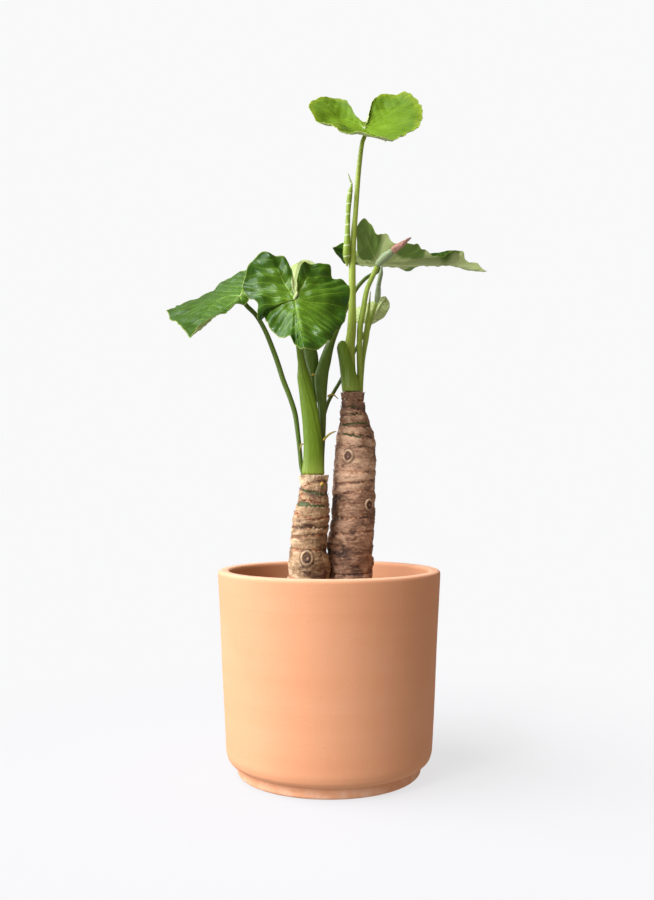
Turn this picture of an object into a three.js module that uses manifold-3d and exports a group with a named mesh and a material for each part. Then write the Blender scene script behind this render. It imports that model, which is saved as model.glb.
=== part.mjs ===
// Potted alocasia: two ringed trunks with six leaves and two flowers, in a terracotta pot.
// Millimetres, +Z up. The origin is on the pot's axis, on the plane that the pot stands on.
// -Y is the side that the front leaf faces.

import * as THREE from 'three';
import { mergeVertices } from 'three/addons/utils/BufferGeometryUtils.js';
import Module from 'manifold-3d';

const wasm = await Module();
wasm.setup();

// ---- driving dimensions -------------------------------------------------------------------

const CLEARANCE = 0.3; // gap between pieces that touch

const POT_HEIGHT = 232;
const POT_RIM_RADIUS = 130;
const POT_BASE_RADIUS = 119; // of the body, just above its rounded lower corner
const POT_CORNER_RADIUS = 14;
const POT_FOOT_RADIUS = 106;
const POT_FOOT_HEIGHT = 12;
const POT_WALL = 14;
const POT_FLOOR = 18;
const POT_LIP_ROUNDING = 3.5;
const FOOT_RING_WIDTH = 16;
const FOOT_RING_RISE = 4; // hollow of the underside inside the foot ring
const DRAIN_HOLE_RADIUS = 15;

const SCREEN_RADIUS = 27;
const SCREEN_THICKNESS = 1.5;
const SCREEN_HOLE_RADIUS = 2.8;
const SCREEN_HOLE_PITCH = 8;
const GRAVEL_DEPTH = 28;
const SOIL_DROP = 40; // from the rim down to the soil at the trunks
const SOIL_MOUND = 3; // fall of the soil from the trunks to the wall

const BLADE_THICKNESS = 1.2;
const STALK_NECK = 10; // length of the straight piece under each blade

// Each trunk: where its top is, its height above the soil, its depth in the soil, and its
// girth as [share of height, sideways lean, radius].
const LEFT_TRUNK = {
  x: -17,
  y: -11,
  height: 150,
  rootDepth: 80,
  girth: [
    [0, -7, 24],
    [0.22, -7, 23.2],
    [0.45, -7.6, 20.8],
    [0.64, -5.3, 20.6],
    [0.74, -1.8, 19.4],
    [0.84, -0.9, 16.6],
    [0.96, -0.6, 15.2],
    [1, 0, 14],
  ],
  rings: [14, 30, 46, 62, 78, 91, 104, 115, 127, 138],
};
const RIGHT_TRUNK = {
  x: 28,
  y: 11,
  height: 249,
  rootDepth: 90,
  girth: [
    [0, -3.4, 26.4],
    [0.27, -2.6, 26.4],
    [0.39, 1, 25.4],
    [0.58, 1.7, 24.8],
    [0.68, 3.3, 25.2],
    [0.75, 4.1, 23.6],
    [0.8, 3.5, 21.8],
    [0.86, 2.4, 18.2],
    [0.9, 1.2, 15],
    [0.95, 0.6, 13.2],
    [1, 0, 12.5],
  ],
  rings: [18, 36, 52, 68, 84, 98, 112, 127, 141, 156, 169, 183, 197, 209, 220, 229, 238],
};

// ---- solids -------------------------------------------------------------------------------

function closed(geometry) {
  const bare = geometry.clone();
  bare.deleteAttribute('normal');
  bare.deleteAttribute('uv');
  const merged = mergeVertices(bare, 1e-3);
  const index = merged.index.array;
  const at = (i) => new THREE.Vector3().fromBufferAttribute(merged.attributes.position, i);
  const faces = [];
  let volume = 0;
  for (let k = 0; k < index.length; k += 3) {
    const [a, b, c] = [index[k], index[k + 1], index[k + 2]];
    if (a === b || b === c || c === a) continue;
    faces.push([a, b, c]);
    volume += at(a).dot(at(b).cross(at(c)));
  }
  merged.setIndex(faces.flatMap(([a, b, c]) => (volume > 0 ? [a, b, c] : [a, c, b])));
  return merged;
}

function toSolid(geometry) {
  const body = closed(geometry);
  return new wasm.Manifold(new wasm.Mesh({
    numProp: 3,
    vertProperties: new Float32Array(body.attributes.position.array),
    triVerts: new Uint32Array(body.index.array),
  }));
}

function fromSolid(solid) {
  const { vertProperties, triVerts } = solid.getMesh();
  const geometry = new THREE.BufferGeometry();
  geometry.setAttribute('position', new THREE.BufferAttribute(vertProperties, 3));
  geometry.setIndex(new THREE.BufferAttribute(triVerts, 1));
  return geometry;
}

function material(color, roughness) {
  return new THREE.MeshStandardMaterial({ color, roughness, metalness: 0 });
}

function piece(name, geometry, finish) {
  const mesh = new THREE.Mesh(closed(geometry), finish);
  mesh.name = name;
  return mesh;
}

// A solid of revolution about +Z from [radius, height] pairs.
function turned(profile, segments) {
  const points = profile.map(([r, z]) => new THREE.Vector2(r, z));
  return new THREE.LatheGeometry(points, segments).rotateX(Math.PI / 2);
}

function blend(rows, share, column) {
  let k = 1;
  while (k < rows.length - 1 && rows[k][0] < share) k += 1;
  const [low, high] = [rows[k - 1], rows[k]];
  const t = THREE.MathUtils.clamp((share - low[0]) / (high[0] - low[0]), 0, 1);
  return THREE.MathUtils.lerp(low[column], high[column], t * t * (3 - 2 * t));
}

// A tapering stalk through stations [x, y, z, width across, depth]; depth is width if left out.
function sweep(stations, { sides = 8, steps = 14 } = {}) {
  const points = stations.map(([x, y, z]) => new THREE.Vector3(x, y, z));
  const path = new THREE.CatmullRomCurve3(points, false, 'centripetal');
  const sizes = stations.map(([, , , width, depth = width], k) => [k / (stations.length - 1), width, depth]);
  const rounding = 0.02;
  const profile = [new THREE.Vector2(0, 0), new THREE.Vector2(0.7, 0)];
  for (let k = 0; k <= steps; k += 1) {
    profile.push(new THREE.Vector2(1, rounding + (1 - 2 * rounding) * (k / steps)));
  }
  profile.push(new THREE.Vector2(0.7, 1), new THREE.Vector2(0, 1));
  const geometry = new THREE.LatheGeometry(profile, sides);
  const position = geometry.attributes.position;
  const depthAxis = new THREE.Vector3(0, 1, 0);
  for (let i = 0; i < position.count; i += 1) {
    const t = THREE.MathUtils.clamp(position.getY(i), 0, 1);
    const tangent = path.getTangent(t);
    const back = depthAxis.clone().addScaledVector(tangent, -depthAxis.dot(tangent)).normalize();
    const side = new THREE.Vector3().crossVectors(back, tangent);
    const point = path.getPoint(t);
    point.addScaledVector(side, position.getX(i) * blend(sizes, t, 1) / 2);
    point.addScaledVector(back, position.getZ(i) * blend(sizes, t, 2) / 2);
    position.setXYZ(i, point.x, point.y, point.z);
  }
  return geometry;
}

// ---- leaf blades --------------------------------------------------------------------------

// A blade is a thin sheet that spreads from the stalk's tip to its margin. `margin` lists the
// margin as [right, back, up] of that tip in hundredths of `span`, from the notch round to it
// again. `facing` is the direction that its upper side faces at the stalk.
function blade({ junction, facing, span, margin, rings = 3, curl = 1.7 }) {
  const normal = new THREE.Vector3(...facing).normalize();
  const offsets = margin.map((row) => new THREE.Vector3(...row).multiplyScalar(span / 100));
  const outline = new THREE.CatmullRomCurve3(offsets, true, 'centripetal');
  const spokes = margin.length * 2;
  const reach = (u, s) => {
    const edge = outline.getPoint(((u % 1) + 1) % 1);
    const lift = edge.dot(normal);
    edge.addScaledVector(normal, -lift).multiplyScalar(s);
    return edge.addScaledVector(normal, lift * s ** curl);
  };
  let turn = 0;
  offsets.forEach((edge, k) => {
    turn += edge.clone().cross(offsets[(k + 1) % offsets.length]).dot(normal);
  });
  const faceNormal = (u, s) => {
    if (s === 0) return normal.clone();
    const step = 0.25 / spokes;
    const along = reach(u + step, s).sub(reach(u - step, s));
    const outward = reach(u, s).sub(reach(u, s - 0.05));
    return outward.cross(along).multiplyScalar(Math.sign(turn)).normalize();
  };
  const rows = 2 * rings + 1;
  const geometry = new THREE.SphereGeometry(1, spokes, rows);
  const { position, uv } = geometry.attributes;
  for (let i = 0; i < position.count; i += 1) {
    const u = Math.round(uv.getX(i) * spokes) / spokes;
    const row = Math.round((1 - uv.getY(i)) * rows);
    const under = row > rings;
    const s = (under ? rows - row : row) / rings;
    const point = reach(u, s);
    if (under) point.addScaledVector(faceNormal(u, s), -BLADE_THICKNESS);
    point.add(new THREE.Vector3(...junction));
    position.setXYZ(i, point.x, point.y, point.z);
  }
  return geometry;
}

// A leaf's stalk runs through its stations to a neck under the blade.
function leafStalk(stations, { junction, facing }, options) {
  const tip = new THREE.Vector3(...junction);
  const normal = new THREE.Vector3(...facing).normalize();
  const [, , , width, depth = width] = stations.at(-1);
  const neck = tip.clone().addScaledVector(normal, -STALK_NECK);
  const end = tip.clone().addScaledVector(normal, -(BLADE_THICKNESS + 2 * CLEARANCE));
  return sweep([...stations, [...neck, width, depth], [...end, width * 0.9, depth * 0.9]], options);
}

// ---- pot and what it holds ----------------------------------------------------------------

const POT_SEGMENTS = 48;
const RING_TOP = POT_FOOT_RADIUS - FOOT_RING_WIDTH;
const CORNER_HEIGHT = POT_FOOT_HEIGHT + POT_CORNER_RADIUS;

function wallRadius(z) {
  const share = (z - CORNER_HEIGHT) / (POT_HEIGHT - CORNER_HEIGHT);
  return THREE.MathUtils.lerp(POT_BASE_RADIUS, POT_RIM_RADIUS, share);
}

function innerRadius(z) {
  return wallRadius(z) - POT_WALL;
}

function makePot() {
  const corner = [];
  for (const degrees of [10, 35, 60, 90]) {
    const angle = THREE.MathUtils.degToRad(degrees);
    corner.push([
      POT_BASE_RADIUS - POT_CORNER_RADIUS * (1 - Math.sin(angle)),
      CORNER_HEIGHT - POT_CORNER_RADIUS * Math.cos(angle),
    ]);
  }
  const lip = POT_LIP_ROUNDING;
  const top = POT_HEIGHT;
  const profile = [
    [DRAIN_HOLE_RADIUS, FOOT_RING_RISE],
    [RING_TOP, FOOT_RING_RISE],
    [RING_TOP + 2, 0],
    [POT_FOOT_RADIUS - 2, 0],
    [POT_FOOT_RADIUS, 2],
    [POT_FOOT_RADIUS, POT_FOOT_HEIGHT],
    ...corner,
    [wallRadius(top - lip), top - lip],
    [POT_RIM_RADIUS - 0.3 * lip, top - 0.3 * lip],
    [POT_RIM_RADIUS - lip, top],
    [innerRadius(top) + lip, top],
    [innerRadius(top) + 0.3 * lip, top - 0.3 * lip],
    [innerRadius(top - lip), top - lip],
    [innerRadius(POT_FLOOR + 6), POT_FLOOR + 6],
    [innerRadius(POT_FLOOR) - 6, POT_FLOOR],
    [DRAIN_HOLE_RADIUS, POT_FLOOR],
    [DRAIN_HOLE_RADIUS, FOOT_RING_RISE],
  ];
  return turned(profile, POT_SEGMENTS);
}

function roundPoints(x, y, radius, count) {
  return Array.from({ length: count }, (_, k) => {
    const angle = (2 * Math.PI * k) / count;
    return new THREE.Vector2(x + radius * Math.cos(angle), y + radius * Math.sin(angle));
  });
}

function makeScreen() {
  const disc = new THREE.Shape(roundPoints(0, 0, SCREEN_RADIUS, 24));
  const centres = [new THREE.Vector2(0, 0), ...roundPoints(0, 0, SCREEN_HOLE_PITCH, 6)];
  disc.holes = centres.map(({ x, y }) => new THREE.Path(roundPoints(x, y, SCREEN_HOLE_RADIUS, 6)));
  const geometry = new THREE.ExtrudeGeometry(disc, { depth: SCREEN_THICKNESS, bevelEnabled: false });
  return geometry.translate(0, 0, POT_FLOOR + CLEARANCE);
}

const GRAVEL_BOTTOM = POT_FLOOR + CLEARANCE;
const GRAVEL_TOP = GRAVEL_BOTTOM + GRAVEL_DEPTH;
const SOIL_TOP = POT_HEIGHT - SOIL_DROP;
const FILL_GAP = 2 * CLEARANCE; // leaves room for the flats of the round wall

function makeGravel() {
  const screenTop = POT_FLOOR + SCREEN_THICKNESS + 2 * CLEARANCE;
  const wallStart = GRAVEL_BOTTOM + 7;
  return turned([
    [0, screenTop],
    [SCREEN_RADIUS + CLEARANCE, screenTop],
    [SCREEN_RADIUS + CLEARANCE, GRAVEL_BOTTOM],
    [innerRadius(GRAVEL_BOTTOM) - 7, GRAVEL_BOTTOM],
    [innerRadius(wallStart) - FILL_GAP, wallStart],
    [innerRadius(GRAVEL_TOP) - FILL_GAP, GRAVEL_TOP],
    [0, GRAVEL_TOP],
  ], POT_SEGMENTS);
}

function makeSoil(sockets) {
  const bottom = GRAVEL_TOP + CLEARANCE;
  const body = toSolid(turned([
    [0, bottom],
    [innerRadius(bottom) - FILL_GAP, bottom],
    [innerRadius(SOIL_TOP - SOIL_MOUND) - FILL_GAP, SOIL_TOP - SOIL_MOUND],
    [0.5 * innerRadius(SOIL_TOP), SOIL_TOP],
    [0, SOIL_TOP],
  ], POT_SEGMENTS));
  return fromSolid(sockets.reduce((soil, socket) => soil.subtract(toSolid(socket)), body));
}

// ---- trunks -------------------------------------------------------------------------------

const TRUNK_SEGMENTS = 16;
const RING_STEP = 1.2; // how far the bark steps in above each leaf scar

// `grow` widens the trunk all round, for the socket that it leaves in the soil.
function makeTrunk({ x, y, height, rootDepth, girth, rings }, grow = 0) {
  const radius = (z) => blend(girth, z / height, 2) + grow;
  const buttRadius = radius(0) * 0.62;
  const steps = [...new Set([0, ...rings, height])].sort((a, b) => a - b);
  const profile = [[0, -rootDepth - grow], [buttRadius, -rootDepth - grow]];
  profile.push([radius(0) * 0.86, -rootDepth * 0.6], [radius(0), -rootDepth * 0.15]);
  steps.slice(1, -1).forEach((z) => {
    profile.push([radius(z) + RING_STEP / 2, z - 1], [radius(z) - RING_STEP / 2, z + 1]);
  });
  profile.push([radius(height), height], [0, height]);
  const geometry = turned(profile, TRUNK_SEGMENTS);
  const position = geometry.attributes.position;
  for (let i = 0; i < position.count; i += 1) {
    const lean = blend(girth, position.getZ(i) / height, 1);
    position.setX(i, position.getX(i) + x + lean);
    position.setY(i, position.getY(i) + y);
  }
  return geometry;
}

// A dormant bud: a low boss on the bark, at a height and a compass angle from +X.
function addBoss(trunk, solid, { height, degrees, size }) {
  const angle = THREE.MathUtils.degToRad(degrees);
  const radius = blend(trunk.girth, height / trunk.height, 2);
  const lean = blend(trunk.girth, height / trunk.height, 1);
  const boss = new THREE.SphereGeometry(size / 2, 10, 8);
  boss.scale(0.7, 1, 1.2).rotateZ(angle);
  boss.translate(
    trunk.x + lean + (radius - 0.12 * size) * Math.cos(angle),
    trunk.y + (radius - 0.12 * size) * Math.sin(angle),
    height,
  );
  return solid.add(toSolid(boss));
}

function trunkWithBosses(trunk, bosses) {
  return fromSolid(bosses.reduce(
    (solid, boss) => addBoss(trunk, solid, boss),
    toSolid(makeTrunk(trunk)),
  ));
}

const BUD_SIZE = 5.6;

function makeSideBud(trunk, height, degrees) {
  const angle = THREE.MathUtils.degToRad(degrees);
  const radius = blend(trunk.girth, height / trunk.height, 2) + RING_STEP / 2;
  const lean = blend(trunk.girth, height / trunk.height, 1);
  const out = radius + BUD_SIZE / 2 + CLEARANCE;
  const bud = turned([[0, -0.5], [0.4, -0.35], [0.5, 0], [0.36, 0.35], [0, 0.75]], 10);
  bud.scale(BUD_SIZE, BUD_SIZE, BUD_SIZE);
  return bud.translate(
    trunk.x + lean + out * Math.cos(angle),
    trunk.y + out * Math.sin(angle),
    height,
  );
}

// ---- open sheath at the foot of the crown stalk --------------------------------------------

const SHEATH = {
  radius: 12.3,
  thickness: 1.8,
  lean: -8, // how far it leans to the left at its full height
  fullHeight: 62,
  // [degrees from +X, height of its edge]
  edge: [
    [110, 6],
    [150, 34],
    [180, 54],
    [230, 60],
    [265, 62],
    [282, 46],
    [300, 22],
    [322, 6],
  ],
};

function makeOldSheath({ radius, thickness, lean, fullHeight, edge }) {
  const first = edge[0][0];
  const last = edge.at(-1)[0];
  const geometry = new THREE.BoxGeometry(1, 1, 1, 14, 6, 1);
  const position = geometry.attributes.position;
  for (let i = 0; i < position.count; i += 1) {
    const degrees = THREE.MathUtils.lerp(first, last, position.getX(i) + 0.5);
    const angle = THREE.MathUtils.degToRad(degrees);
    const height = CLEARANCE + (position.getY(i) + 0.5) * blend(edge, degrees, 1);
    const out = radius - thickness * (position.getZ(i) + 0.5);
    const shift = lean * (height / fullHeight) ** 1.3;
    position.setXYZ(i, shift + out * Math.cos(angle), out * Math.sin(angle), height);
  }
  return geometry;
}

// ---- finishes -----------------------------------------------------------------------------

const terracotta = material('#e3a77c', 0.85);
const meshPlastic = material('#2c2f2c', 0.7);
const stones = material('#8d8578', 0.95);
const earth = material('#4a3626', 0.98);
const bark = material('#a5815f', 0.92);
const paleBark = material('#b9946f', 0.92);
const stalkGreen = material('#8fa63c', 0.45);
const darkStalk = material('#4f6a26', 0.45);
const glossyLeaf = material('#4d7324', 0.28);
const brightLeaf = material('#82a833', 0.4);
const youngLeaf = material('#a9b96a', 0.5);
const spatheGreen = material('#a9bf7c', 0.5);
const withered = material('#c48a6a', 0.8);
const straw = material('#c9a24a', 0.8);

// ---- leaves of the left trunk, from the middle of its top ---------------------------------

const FRONT_LEAF = {
  junction: [-22, -40, 198],
  facing: [0, -0.89, 0.45],
  span: 130,
  margin: [
    [2, 1, 5], [-3, 3, 15], [-2, 5, 25], [-9, 10, 40], [-19, 13, 42], [-30, 14, 44],
    [-42, 15, 31], [-47, 15, 15], [-40, 5, 3], [-34, 0, -3], [-35, 3, -15], [-28, 6, -13],
    [-23, -2, -23], [-15, -10, -32], [-3, -21, -38], [6, -33, -49], [11, -38, -51],
    [22, -31, -46], [32, -18, -37], [40, -2, -25], [44, 8, -14], [47, 13, 0],
    [48, 15, 14], [41, 17, 21], [33, 16, 24], [31, 16, 33], [17, 12, 35], [6, 7, 31],
    [2, 3, 20],
  ],
};
const LEFT_LEAF = {
  junction: [-88, 8, 213],
  facing: [-0.37, -0.51, 0.78],
  span: 120,
  margin: [
    [4, 5, 8], [13, 16, 17], [10, 33, 34], [-10, 46, 32], [-34, 52, 18], [-60, 46, 3],
    [-73, 34, -5], [-74, 13, -16], [-64, -4, -27], [-50, -29, -40], [-42, -46, -49],
    [-37, -42, -39], [-26, -38, -30], [-11, -32, -24], [-2, -23, -15], [8, -12, -9],
    [12, -3, 0],
  ],
};
const BACK_LEAF = {
  junction: [-15, 34, 211],
  facing: [0, 0.8, 0.6],
  span: 100,
  margin: [
    [0, 2, 10], [-8, 4, 22], [-17, 7, 38], [-8, 12, 50], [6, 18, 55], [19, 19, 46],
    [34, 30, 22], [36, 46, 0], [22, 66, -22], [6, 84, -40], [-14, 70, -26], [-32, 50, -4],
    [-36, 32, 18], [-30, 16, 36], [-20, 9, 40], [-4, 4, 24],
  ],
};
const RIGHT_LEAF = {
  junction: [79, 56, 263],
  facing: [0.12, 0.05, 0.99],
  span: 135,
  curl: 1.25,
  margin: [
    [-7, -1, 1], [-16, -8, 5], [-21, -17, 14], [-21, -21, 27], [-17, -23, 33], [-9, -23, 30],
    [2, -23, 21], [10, -24, 13], [17, -25, 12], [27, -24, 13], [35, -21, 11], [43, -18, 5],
    [58, -15, 5], [69, -14, 9], [76, -12, 10], [80, -8, 2], [99, -4, -6], [80, 0, 0],
    [72, 8, 0], [62, 17, 6], [50, 24, 7], [40, 30, 7], [33, 35, 4], [25, 35, 9],
    [13, 33, 7], [-3, 30, 7], [-18, 26, 8], [-30, 20, 4], [-36, 13, 7], [-39, 7, 14],
    [-43, 1, 19], [-34, 1, 18], [-24, 1, 11], [-12, 2, 2],
  ],
};
const REAR_LEAF = {
  junction: [67, 58, 191],
  facing: [-0.3, 0.9, -0.2],
  span: 60,
  margin: [
    [-10, 3, -3], [-28, 14, 2], [-27, 22, 32], [-6, 24, 42], [15, 30, 50], [37, 42, 62],
    [45, 37, 45], [35, 20, 18], [18, 10, 3], [2, 4, -5],
  ],
};

function leftTrunkPieces() {
  const group = new THREE.Group();
  group.add(
    piece('front_leaf_stalk', leafStalk([
      [-1.5, -6, CLEARANCE, 26, 13],
      [-1.5, -6, 33, 22, 12],
      [-5, -6, 72, 20, 11],
      [-12, -6, 111, 15.5, 9],
      [-15, -8, 131, 9, 8],
      [-17, -12, 145, 8],
      [-20, -26, 173, 7],
    ], FRONT_LEAF, { sides: 12, steps: 18 }), stalkGreen),
    piece('front_leaf_blade', blade(FRONT_LEAF), glossyLeaf),
    piece('left_leaf_stalk', leafStalk([
      [-12.5, 5, CLEARANCE, 5],
      [-15, 6, 6, 5],
      [-18, 7.4, 33, 5.2],
      [-24, 10, 76, 6],
      [-37.5, 12, 113, 6.2],
      [-47, 13, 142, 6],
      [-66, 11, 185, 5.4],
    ], LEFT_LEAF), darkStalk),
    piece('left_leaf_blade', blade(LEFT_LEAF), brightLeaf),
    piece('back_leaf_stalk', leafStalk([
      [-3, 6, CLEARANCE, 9, 8],
      [-3, 7, 20, 9, 8],
      [-2, 17, 104, 9, 8],
      [-5, 22, 141, 18, 9],
      [-11, 22, 178, 9, 8],
    ], BACK_LEAF), darkStalk),
    piece('back_leaf_blade', blade(BACK_LEAF), youngLeaf),
    piece('right_leaf_stalk', leafStalk([
      [7, 6, CLEARANCE, 9, 8],
      [7, 6, 20, 9, 8],
      [9, 8, 73, 9.5, 8.5],
      [7.4, 9, 113, 16.5, 9],
      [12, 11, 134, 14, 9],
      [20, 18, 161, 9.5, 8.5],
      [36, 34, 199, 6],
      [51, 41, 229, 5],
      [64, 47, 244, 4.6],
    ], RIGHT_LEAF, { sides: 8, steps: 20 }), darkStalk),
    piece('right_leaf_blade', blade(RIGHT_LEAF), brightLeaf),
    piece('rear_leaf_stalk', leafStalk([
      [4, 12.5, CLEARANCE, 3.4],
      [4.5, 13, 14, 3.6],
      [13, 19, 79, 4.4],
      [31, 37, 115, 4.4],
      [49, 47, 153, 4],
    ], REAR_LEAF), darkStalk),
    piece('rear_leaf_blade', blade(REAR_LEAF), youngLeaf),
    piece('withered_tip_yellow', sweep([
      [15.4, 10, 93, 2.4],
      [21, 10.5, 95.5, 2],
      [28, 10, 90, 0.8],
    ], { sides: 6, steps: 4 }), straw),
    piece('withered_tip_orange', sweep([
      [10.4, -6, 40, 3],
      [14, -5, 44.5, 2.4],
      [19, -4, 48.5, 2],
      [25, -2, 51, 1],
    ], { sides: 6, steps: 4 }), straw),
    piece('withered_tip_cream', sweep([
      [-13.4, -6, 36, 2],
      [-15.5, -5, 35, 1.8],
      [-17, -4, 28, 0.9],
    ], { sides: 6, steps: 4 }), straw),
    piece('withered_tip_brown', sweep([
      [-3.2, -5, 116, 2],
      [-1, -4, 118, 1.8],
      [1.6, -3, 116, 0.9],
    ], { sides: 6, steps: 4 }), straw),
  );
  return group;
}

// ---- crown leaf and flowers of the right trunk, from the middle of its top ----------------

const CROWN_LEAF = {
  junction: [15, -8, 318],
  facing: [0, -0.6, 0.8],
  span: 140,
  margin: [
    [0, 8, 9], [-8, 21, 21], [-15, 34, 39], [-27, 43, 46], [-41, 39, 44], [-49, 29, 33],
    [-42, 6, 12], [-30, -11, -1], [-25, -29, -11], [-21, -43, -21], [-13, -54, -25],
    [-2, -68, -31], [9, -75, -37], [20, -80, -41], [28, -64, -31], [41, -39, -15],
    [49, -11, 8], [48, 14, 29], [39, 32, 46], [27, 43, 49], [15, 44, 49], [7, 30, 33],
    [4, 14, 16],
  ],
};

// Both flowers: stalk stations, then the green tube and the limb above it.
const FLOWERS = [
  {
    stalk: [
      [8.9, -2.5, CLEARANCE, 6],
      [8.9, -2.5, 16, 6.4],
      [9, -2, 75, 7],
      [13, 0, 99, 6.4],
      [18, 0, 125, 6],
      [25, -2, 141, 6],
      [29, -3, 150.5, 6.2],
    ],
    tube: [
      [29.6, -3.2, 152, 6.4],
      [33, -4, 156.5, 9.5],
      [39, -5.5, 162, 11],
      [47, -8, 168, 8.6],
    ],
    limb: [
      [47.8, -8.2, 168.7, 8.4],
      [53, -9.5, 172.5, 8],
      [60, -11.5, 177, 6.4],
      [65, -13, 180.5, 4],
      [69, -14, 183, 1.4],
    ],
    limbFinish: withered,
  },
  {
    stalk: [
      [7.5, 6.5, CLEARANCE, 5.2],
      [7.8, 6.8, 12, 5.2],
      [12, 11, 35, 5],
      [19, 14, 76, 5.2],
      [29, 12, 109, 4.8],
    ],
    tube: [
      [29.6, 11.9, 111, 5],
      [31, 11.3, 118, 7.4],
      [31.8, 10.4, 126, 6.4],
      [32, 10, 130, 5.6],
    ],
    limb: [
      [32.2, 9.9, 130.7, 5.6],
      [33, 9.6, 136, 5.4],
      [34.8, 9, 145, 5.4],
      [36, 8.2, 153, 2.4],
    ],
    limbFinish: spatheGreen,
  },
];

function flowerPieces({ stalk, tube, limb, limbFinish }, number) {
  return [
    piece(`flower_${number}_stalk`, sweep(stalk, { sides: 8, steps: 12 }), stalkGreen),
    piece(`flower_${number}_tube`, sweep(tube, { sides: 10, steps: 7 }), spatheGreen),
    piece(`flower_${number}_limb`, sweep(limb, { sides: 10, steps: 7 }), limbFinish),
  ];
}

function rightTrunkPieces() {
  const group = new THREE.Group();
  group.add(
    piece('crown_leaf_stalk', leafStalk([
      [-2, 0, CLEARANCE, 14, 13],
      [-2.5, -0.5, 20, 13, 12],
      [-3, -2, 56, 12, 11],
      [-1, -2, 74, 11, 10],
      [0, -3, 114, 8.4],
      [0, -5, 167, 8.2, 8],
      [4, -6, 218, 6],
      [8, -7, 270, 5.8],
      [12, -8, 300, 5.2],
    ], CROWN_LEAF, { sides: 10, steps: 22 }), stalkGreen),
    piece('crown_leaf_blade', blade(CROWN_LEAF), brightLeaf),
    piece('rolled_leaf', sweep([
      [-6.2, -7.4, 151, 2.4],
      [-7, -9, 160, 5],
      [-6.8, -10, 171, 4.8],
      [-6, -10.5, 189, 3.4],
      [-5, -11, 215, 3],
      [-3, -11, 238, 5.4],
      [-1, -11, 248, 2.6],
      [-3, -11, 255, 1.3],
      [-5, -11, 262, 0.8],
    ], { sides: 8, steps: 20 }), stalkGreen),
    piece('old_sheath', makeOldSheath(SHEATH), stalkGreen),
    piece('flower_bract', sweep([
      [11.2, 2.4, CLEARANCE, 3.2, 2.6],
      [11.4, 2.8, 12, 3.6, 2.6],
      [13, 5, 39, 4.6, 2.5],
      [17.5, 5, 74, 7, 2.6],
      [22, 5, 122, 1.2, 1],
    ], { sides: 8, steps: 10 }), stalkGreen),
    ...FLOWERS.flatMap((flower, k) => flowerPieces(flower, k + 1)),
  );
  return group;
}

// ---- assembly -----------------------------------------------------------------------------

const group = new THREE.Group();
const plant = new THREE.Group();
plant.position.z = SOIL_TOP;

const sockets = [LEFT_TRUNK, RIGHT_TRUNK].map((trunk) => (
  makeTrunk(trunk, CLEARANCE).translate(0, 0, plant.position.z)
));

group.add(
  piece('pot', makePot(), terracotta),
  piece('drain_screen', makeScreen(), meshPlastic),
  piece('drainage_gravel', makeGravel(), stones),
  piece('soil', makeSoil(sockets), earth),
  plant,
);

plant.add(
  piece('left_trunk', trunkWithBosses(LEFT_TRUNK, [
    { height: 55, degrees: 268, size: 15 },
  ]), paleBark),
  piece('right_trunk', trunkWithBosses(RIGHT_TRUNK, [
    { height: 172, degrees: 248, size: 13 },
    { height: 115, degrees: 312, size: 12 },
    { height: 48, degrees: 2, size: 9 },
  ]), bark),
  piece('side_bud', makeSideBud(LEFT_TRUNK, 138, 300), straw),
);

const onTop = (trunk, pieces) => {
  pieces.position.set(trunk.x, trunk.y, trunk.height);
  return pieces;
};
plant.add(
  onTop(LEFT_TRUNK, leftTrunkPieces()),
  onTop(RIGHT_TRUNK, rightTrunkPieces()),
);

export default group;
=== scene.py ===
import math

import bpy
import numpy as np
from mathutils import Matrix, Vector


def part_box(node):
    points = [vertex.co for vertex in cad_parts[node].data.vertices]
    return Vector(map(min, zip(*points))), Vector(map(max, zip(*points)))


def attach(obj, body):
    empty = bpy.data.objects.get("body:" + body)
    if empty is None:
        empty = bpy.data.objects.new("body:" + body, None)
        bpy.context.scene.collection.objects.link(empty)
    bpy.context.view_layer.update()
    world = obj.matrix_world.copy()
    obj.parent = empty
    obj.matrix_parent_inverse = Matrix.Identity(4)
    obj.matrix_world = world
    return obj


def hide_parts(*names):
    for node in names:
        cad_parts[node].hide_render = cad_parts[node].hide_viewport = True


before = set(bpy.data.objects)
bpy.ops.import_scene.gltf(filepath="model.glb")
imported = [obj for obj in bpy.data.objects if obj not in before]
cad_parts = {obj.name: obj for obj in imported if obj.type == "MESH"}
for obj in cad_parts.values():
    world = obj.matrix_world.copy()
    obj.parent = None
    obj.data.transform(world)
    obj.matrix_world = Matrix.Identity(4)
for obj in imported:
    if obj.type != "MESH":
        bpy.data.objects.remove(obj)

bl_info = {
    "name": "Potted Alocasia",
    "version": (1, 0, 0),
    "blender": (4, 5, 0),
    "location": "3D View > Sidebar > Alocasia",
    "description": "Builds a potted alocasia, its soil and its pot around the packed part",
    "category": "Object",
}

MM = 0.001
TAU = 2 * math.pi
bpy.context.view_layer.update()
POT_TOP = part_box("pot")[1][2]
SOIL_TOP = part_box("soil")[1][2]

# How finely each kind of piece is divided: points round it, or metres between rows of points.
POT_SIDES = 180
DISC_SIDES = 72
TRUNK_SIDES = 176
TRUNK_STEP = 0.85 * MM
STALK_STEP = 1.3 * MM
MARGIN_STEP = 1.15 * MM
BLADE_STEP = 1.25 * MM

# Millimetres of blade across one unit of its flat map.
MAP_WIDTH = 200

# Pale scuffs on the pot's right side, as [right, back, up] in metres.
SCUFFS = ((0.099, -0.07, 0.145), (0.0957, -0.069, 0.055))

# Where the camera stands, in metres, its tilt from straight down, in degrees, and the lens and
# sensor, in millimetres.
CAMERA_PLACE = (-0.0024, -1.062, 0.326)
CAMERA_TILT = 92.46
CAMERA_LENS = 36
CAMERA_SENSOR = 36

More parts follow.
